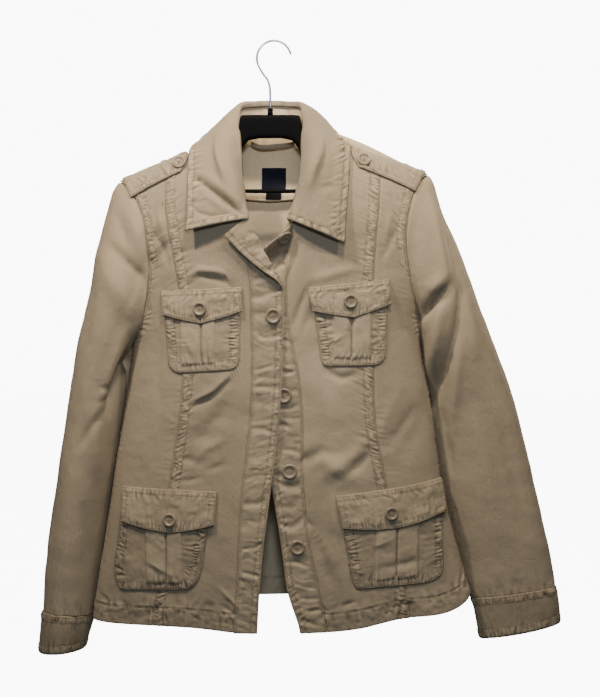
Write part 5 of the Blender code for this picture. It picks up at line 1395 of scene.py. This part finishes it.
def button(name, centre, normal, radius, high, spin):
    z = normal / np.linalg.norm(normal)
    x = np.cross([0, 0, 1.0], z)
    x = x / np.linalg.norm(x)
    y = np.cross(z, x)
    turn = np.arange(FACETS) * 2 * math.pi / FACETS
    verts, faces = [], []
    for r, h in BUTTON[1:-1]:
        for a in turn:
            u, v = r * radius * math.cos(a), r * radius * math.sin(a)
            w = h * high
            if r < 0.5 and h == 0.5:
                for k in range(4):
                    hole = spin + math.pi / 4 + k * math.pi / 2
                    d = math.hypot(u - HOLE_RING * radius * math.cos(hole),
                                   v - HOLE_RING * radius * math.sin(hole))
                    w -= HOLE_DEPTH * max(0.0, 1 - (d / (HOLE_RADIUS * radius)) ** 2) ** 0.5
            verts.append(np.asarray(centre) + x * u + y * v + z * w)
    count = len(BUTTON) - 2
    for r in range(count - 1):
        for i in range(FACETS):
            a, b = r * FACETS + i, r * FACETS + (i + 1) % FACETS
            faces.append((a, a + FACETS, b + FACETS, b))
    verts += [np.asarray(centre) + z * high * 0.5, np.asarray(centre)]
    under = (count - 1) * FACETS
    for i in range(FACETS):
        j = (i + 1) % FACETS
        faces += [(len(verts) - 2, i, j), (len(verts) - 1, under + j, under + i)]
    mesh = bpy.data.meshes.new(name)
    mesh.from_pydata([tuple(v * MM) for v in verts], [], faces)
    made = smooth_object(name, mesh, HORN)
    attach(made, "root")
    bars = []
    for k in range(4):
        a, b = spin + math.pi / 4 + k * math.pi / 2, spin + 3 * math.pi / 4 + k * math.pi / 2
        t = np.linspace(0.05, 0.95, 6)[:, None]
        ends = [np.asarray(centre) + radius * HOLE_RING * (x * math.cos(q) + y * math.sin(q)) for q in (a, b)]
        line = ends[0] + (ends[1] - ends[0]) * t + z * (high * 0.5 + 0.35 * np.sin(math.pi * t))
        bars.append((line, np.broadcast_to(z, line.shape)))
    return made, bars


# name, x, level, radius, height over the form, 1 on the right front, turn of the holes
BUTTONS = (
    ("front_0", 14.0, -249.0, 10.0, 0.6, 0, 0.2), ("front_1", -0.6, -348.1, 10.0, 1.6, 1, 0.1),
    ("front_2", 13.0, -450.3, 10.0, 0.6, 0, 0.5), ("front_3", 20.0, -548.4, 10.0, 0.6, 0, 0.0),
    ("front_4", 30.2, -647.6, 10.0, 0.6, 0, 0.3), ("chest_right", -92.2, -339.5, 9.0, 6.6, 1, 0.0),
    ("chest_left", 96.3, -329.9, 9.0, 6.6, 0, 0.35), ("lower_right", -133.5, -612.0, 9.0, 6.8, 1, 0.15),
    ("lower_left", 150.3, -604.1, 9.0, 6.8, 0, 0.6))
threads = []
for name, x, z, radius, over, lift, spin in BUTTONS:
    base = laid(x, z, over, lift=float(lift), reach=6)
    tip = laid(x, z, over + 1, lift=float(lift), reach=6)
    made, bars = button(f"button_{name}_disc", base, tip - base, radius, 3.2, spin)
    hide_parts(f"button_{name}")
    threads += bars
for word, x, run in (("right", -119.5, 26), ("left", 114, 27)):
    base, normal = over_shoulder(x, run, 4.3)
    normal = normal + np.array([0, -0.45, 0])
    made, bars = button(f"button_shoulder_{word}_disc", base, normal, 9.0, 3.0, 0.4)
    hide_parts(f"button_shoulder_{word}")
    threads += bars
sew("button_threads", threads, length=0.0015, thread=0.0008)

# --- Buttonholes ------------------------------------------------------------------------
# Level buttonholes down the right placket: close stitches across both lips of a slit, with
# a bar at each end. The top one lies on the turned-back corner.
HOLES = ((-13.6, -445.4, 0.02), (-21.5, -542.4, 0.0), (-30.1, -636.8, -0.03), (-37.0, -250.0, -0.92))
holes = []
near = right_placket.reshape(-1, 3)
for x_mid, z_mid, tilt in HOLES:         # middle and tilt of each slit
    t = np.linspace(-9.0, 9.0, 36)
    for lip in (-0.9, 0.9):
        line = np.stack([x_mid + t * math.cos(tilt) - lip * math.sin(tilt), 0 * t,
                         z_mid + t * math.sin(tilt) + lip * math.cos(tilt)], -1)
        found = [near[np.hypot(near[:, 0] - q[0], near[:, 2] - q[2]) < 2.2] for q in line]
        line[:, 1] = [(close[:, 1].min() if len(close) else 0) - PLY / 2 for close in found]
        line = line[line[:, 1] < -20]
        line[:, 1] = smooth(line[:, 1], 0, 2)
        holes.append((line, np.broadcast_to([0, -1.0, 0], line.shape)))
bars = [(np.stack([p - [0, 0, 0.6], p, p + [0, 0, 0.6]]), np.stack([up] * 3))
        for line, ups in holes for p, up in zip(line, ups)]
sew("buttonholes", bars, length=0.0010, thread=0.0007)

# --- Facing, label, size tag and hanging loop --------------------------------------------
# A shaped facing lines the neck of the back. It carries a bare dark blue label, a small
# bare tag under it and a flat loop of twill to hang the jacket by.
FACING_LOW = ([-76, -58, -40, -20, 0, 20, 40, 58, 76],
              [-180, -192, -198, -201, -202, -201, -199, -193, -180])       # x, level of its low edge


def stand_off(z):
    """The free low edge of the facing hangs clear of the back."""
    return 6.0 * ease((-172 - z) / 30)


columns = []
for a in np.linspace(-76, 76, 72):
    x = CENTRE + a
    low = float(flow(a, *FACING_LOW))
    top = (float(flow(abs(a), NECK_BACK[:, 0], NECK_BACK[:, 1 if a < 0 else 2])) - 4 if abs(a) < 62
           else float(ridge(x)) - 14)
    z = np.linspace(top, low, 40)
    columns.append(laid(x + 0 * z, z, -1.9 - stand_off(z), BACK))
facing = np.stack(columns, 1)
first, last, top, low = runs(facing)
h, crest = drawn(low, first, 211, rows=(4.0,), band=(1, 6), high=0.3, drag=0.5)
facing = facing + grid_normals(facing) * (0.6 * h)[..., None]
piece("neck_facing", facing, "back_facing", crest, wall=1.0, offset=1.0, material=KHAKI_PAINTED_LIT)
sew("stitches_facing", [seam_row(facing, "low", 4.0)])

for name, stands_for, x0, x1, top, low, high, dye in (
        ("neck_label", "label", -17.2, 14.8, -158.2, -187.2, 4.4, (0.004, 0.005, 0.014)),
        ("neck_tag", "size_tag", -12.0, 8.5, -188.2, -199.5, 4.6, (0.004, 0.004, 0.006))):
    x, z = np.linspace(x0, x1, 24)[None, :], np.linspace(top, low, 20)[:, None]
    lifted = 0.35 * np.sin(math.pi * (x - x0) / (x1 - x0)) + 0.25 * grain(x / 9, z / 7, 213)
    patch = laid(x, z, -high - lifted - stand_off(z), BACK)
    weave = cloth_material(name + "_weave", dye, crest_gain=0.2, ribs=2400.0, bump=0.2, sheen=0.0, gloss=0.25)
    piece(name, patch, stands_for, wall=0.5 if name == "neck_tag" else 0.6, material=weave,
          offset=1.0, held="laid")
t, across = np.linspace(-1, 1, 60)[:, None], np.linspace(3.0, -3.0, 8)[None, :]
x = CENTRE + 2.3 + 28.2 * t + 0 * across
z = -127.0 - 4.5 * (1 - np.abs(t) ** 4) + 1.0 * np.sin(3.0 * t) + across
y = laid(x, z, -8.0, BACK)[..., 1] - 5.0 * (1 - t * t) - 2.0 * np.cos(math.pi * across / 6)
loop = np.stack([x, y, z], -1)
piece("hanging_loop_band", loop, "hanging_loop", wall=1.4, offset=0.0, held="tape")
sew("stitches_loop", [seam_row(loop, s, 1.2) for s in ("first", "last")], flip=True)

# --- Hanger -----------------------------------------------------------------------------
# A moulded black hanger with a bar: a bright wire hook stands in its boss, and the arms
# follow the shoulders inside the jacket.
def hard_finish(name, colour, rough, metal, scale):
    """Metal or plastic with a faint grain in its colour, its roughness and its surface."""
    made, tree, shader = finish(name, {"Metallic": metal, "Specular IOR Level": 0.5 if metal else 0.06})
    place = node(tree, "ShaderNodeTexCoord")
    spots = node(tree, "ShaderNodeTexNoise", {"Scale": scale, "Detail": 4.0})
    ramp = node(tree, "ShaderNodeMapRange", {"To Min": rough - 0.08, "To Max": rough + 0.12})
    lift = node(tree, "ShaderNodeBump", {"Strength": 0.12, "Distance": 0.0002})
    tint = node(tree, "ShaderNodeMix", data_type="RGBA")
    dial(tint, {6: (*[0.8 * v for v in colour], 1), 7: (*[1.15 * v for v in colour], 1)})
    wire(tree, (place, "Object", spots, "Vector"), (spots, "Fac", ramp, "Value"), (spots, "Fac", tint, 0),
         (tint, 2, shader, "Base Color"), (ramp, 0, shader, "Roughness"),
         (spots, "Fac", lift, "Height"), (lift, 0, shader, "Normal"))
    return made


CHROME = hard_finish("hook_wire", (0.42, 0.42, 0.43), 0.30, 1.0, 500.0)
BLACK = hard_finish("black_plastic", (0.0022, 0.0020, 0.0021), 0.55, 0.0, 900.0)


def lofted(name, rings, material, stands_for):
    """Closed skin over rings of points, with its ends filled and faces outward."""
    rings = np.asarray(rings, float)
    count, around = rings.shape[:2]
    ring = [(i, (i + 1) % around) for i in range(around)]
    faces = [(r * around + i, r * around + j, (r + 1) * around + j, (r + 1) * around + i)
             for r in range(count - 1) for i, j in ring]
    verts = [tuple(v * MM) for v in rings.reshape(-1, 3)] + [tuple(rings[k].mean(0) * MM) for k in (0, -1)]
    faces += [(len(verts) - 2, j, i) for i, j in ring]
    faces += [(len(verts) - 1, (count - 1) * around + i, (count - 1) * around + j) for i, j in ring]
    mesh = bpy.data.meshes.new(name)
    mesh.from_pydata(verts, [], faces)
    work = bmesh.new()
    work.from_mesh(mesh)
    bmesh.ops.recalc_face_normals(work, faces=work.faces)
    work.to_mesh(mesh)
    work.free()
    made = smooth_object(name, mesh, material)
    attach(made, "root")
    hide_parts(stands_for)
    return made


def swept(path, radius, around=20):
    """Rings round a path that lies in the plane of the hook; radius may vary."""
    path = np.asarray(path, float)
    side = np.cross(unit(np.gradient(path, axis=0)), [0, 1.0, 0])
    a = np.linspace(0, 2 * math.pi, around, endpoint=False)[None, :, None]
    radius = np.broadcast_to(np.asarray(radius, float), (len(path),))[:, None, None]
    return path[:, None] + radius * (side[:, None] * np.cos(a) + np.array([0, 1.0, 0]) * np.sin(a))


BEND, WIRE = 22.0, 1.5       # radii of the hook's bend and of its wire
a = np.radians(np.linspace(12, 208, 70))
bend = np.stack([BEND * np.cos(a), 0 * a, WIRE - BEND + BEND * np.sin(a)], -1)
shank = np.array([bend[-1], (-14.6, 0, -39.5), (-8.6, 0, -47.5), (-5.6, 0, -57.0), (-5.0, 0, -70.0),
                  (-5.0, 0, -84.0)])
t = np.linspace(0, 5, 46)[1:]
shank = np.stack([flow(t, np.arange(6), shank[:, k]) for k in range(3)], -1)
hook = np.concatenate([bend, shank])
thick = np.full(len(hook), WIRE)
thick[:3] = (0.7, 1.2, 1.42)
lofted("hook_wire_bent", swept(hook, thick), CHROME, "hanger_hook")

# distance from the middle, top and low level of the arms, half depth
ARMS = np.array([
    (0, -92.5, -122, 7.5), (14, -92.5, -122, 7.5), (28, -92.5, -124.5, 7.5), (36.5, -92.8, -134.5, 7.5),
    (38.5, -94.5, -137.5, 7.5), (44, -120.5, -146.5, 6.5), (56, -133.5, -153.5, 6.5),
    (68, -133, -158, 8), (104, -146, -171, 8.5), (150, -164, -187.6, 8.5),
    (176, -175, -195, 8), (182, -179, -193.5, 6)], float)
rings = []
for side in (RIGHT, LEFT):
    for a in (np.linspace(182, 0, 110) if side == RIGHT else np.linspace(0, 182, 110)[1:]):
        x = CENTRE + side * a
        top, low, deep = (float(np.interp(a, ARMS[:, 0], ARMS[:, k])) for k in (1, 2, 3))
        if a > 60:
            top = top + (float(ridge(x)) - 5.6 - (4 if a > 180 else 0) - top) * min((a - 60) / 4, 1)
        q = np.linspace(0, 2 * math.pi, 28, endpoint=False)
        u = np.sign(np.sin(q)) * np.abs(np.sin(q)) ** 0.32
        w = np.sign(np.cos(q)) * np.abs(np.cos(q)) ** 0.45
        rings.append(np.stack([x + 0 * q, deep * u, (top + low) / 2 + (top - low) / 2 * w], -1))
lofted("hanger_arms", rings, BLACK, "hanger_body")
q = np.linspace(0, 2 * math.pi, 36, endpoint=False)
BOSS = ((2.4, -84.3), (3.2, -84.5), (3.6, -85.2), (3.6, -87.4), (3.25, -87.7), (3.25, -88.3), (3.6, -88.6),
        (3.7, -92.4))                    # radius, level
boss = [np.stack([CENTRE + r * np.cos(q), r * np.sin(q), h + 0 * q], -1) for r, h in BOSS]
lofted("hanger_neck", boss, BLACK, "hanger_boss")
BAR = 148.6                  # half length of the bar between the arms
x = np.linspace(CENTRE - BAR, CENTRE + BAR, 60)
thick = 2.6 * (1 - 0.25 * np.exp(-((np.abs(x - CENTRE) - BAR) / 1.0) ** 2))
bar = swept(np.stack([x, 0 * x, -190 + 0 * x], -1), thick, 18)
lofted("hanger_lower_bar", bar, BLACK, "hanger_bar")

# --- Floor, light and camera -----------------------------------------------------------
# A pale floor well below the hem. Three warm lamps stand high in front and a cooler one
# level with the neck; a narrow beam reaches the inside of the neck, two soft lamps the back.
GROUND, REACH = -1.35, 6     # level and half width of the floor, in metres
floor_mesh = bpy.data.meshes.new("floor")
corners = [(x * REACH, y * REACH, GROUND) for x, y in ((-1, -1), (1, -1), (1, 1), (-1, 1))]
floor_mesh.from_pydata(corners, [], [(0, 1, 2, 3)])
floor = in_scene("floor", floor_mesh)
pale, tree, shader = finish("pale_floor", {"Base Color": (0.82, 0.82, 0.82, 1), "Roughness": 0.9,
                                           "Emission Color": (1, 1, 1, 1)})
place, cloud = node(tree, "ShaderNodeTexCoord"), node(tree, "ShaderNodeTexNoise", {"Scale": 3.0})
glow = node(tree, "ShaderNodeMapRange", {"To Min": 9.4, "To Max": 10.0})
wire(tree, (place, "Object", cloud, "Vector"), (cloud, "Fac", glow, "Value"),
     (glow, 0, shader, "Emission Strength"))
floor.visible_diffuse = floor.visible_glossy = False
floor_mesh.materials.append(pale)

world = bpy.data.worlds.new("room")
bpy.context.scene.world = world
world.use_nodes = True
air = world.node_tree
room = air.nodes["Background"]
dial(room, {"Color": (0.79, 0.875, 1.0, 1)})
seen = node(air, "ShaderNodeBackground", {"Color": (1, 1, 1, 1), "Strength": 10.0})
mixed, ray = node(air, "ShaderNodeMixShader"), node(air, "ShaderNodeLightPath")
strength = math_node(air, "MULTIPLY_ADD", ray.outputs["Is Glossy Ray"], 0.25, 0.09)
wire(air, (strength.node, 0, room, "Strength"), (ray, "Is Camera Ray", mixed, 0), (room, 0, mixed, 1),
     (seen, 0, mixed, 2), (mixed, 0, air.nodes["World Output"], "Surface"))


def aimed(light, place, aim):
    """The light as an object of the scene that looks from its place at a point."""
    made = in_scene(light.name, light)
    made.location = place
    made.rotation_euler = (Vector(aim) - Vector(place)).to_track_quat("-Z", "Y").to_euler()


def lamp(name, place, aim, size, power, colour):
    light = bpy.data.lights.new(name, "AREA")
    light.shape, light.size = "DISK", size
    light.energy, light.color = power, colour
    aimed(light, place, aim)


lamp("key_lamp", (-0.46, -0.48, 0.58), (0, 0, -0.38), 0.09, 12.5, (1.0, 0.89, 0.745))
lamp("second_lamp", (0.14, -0.56, 0.62), (0, 0, -0.38), 0.09, 8.5, (1.0, 0.87, 0.69))
lamp("third_lamp", (0.50, -0.50, 0.50), (0, 0, -0.38), 0.10, 4.0, (1.0, 0.87, 0.70))
lamp("front_lamp", (0.04, -1.15, 0.05), (0, 0, -0.35), 0.14, 4.4, (0.70, 0.83, 1.0))
lamp("back_lamp_left", (0.85, 0.85, 0.60), (0, 0, -0.4), 0.16, 20.0, (1.0, 0.92, 0.82))
lamp("back_lamp_right", (-0.45, 1.05, 0.45), (0, 0, -0.4), 0.20, 9.0, (0.90, 0.95, 1.0))
beam = bpy.data.lights.new("neck_beam", "SPOT")
beam.energy, beam.spot_size, beam.spot_blend, beam.shadow_soft_size = 11.0, math.radians(6.3), 0.7, 0.03
beam.color = (1.0, 0.90, 0.76)
aimed(beam, (-0.006, -0.95, 0.02), (-0.006, 0.04, -0.172))

camera_data = bpy.data.cameras.new("camera")
camera = in_scene("camera", camera_data)
camera_data.lens = 58.5
camera_data.sensor_fit = "VERTICAL"
camera_data.sensor_height = 36.0
camera.location = (0.0334, -1.4871, -0.2395)
camera.rotation_euler = (math.radians(90 - 6), 0, 0)
bpy.context.scene.camera = camera
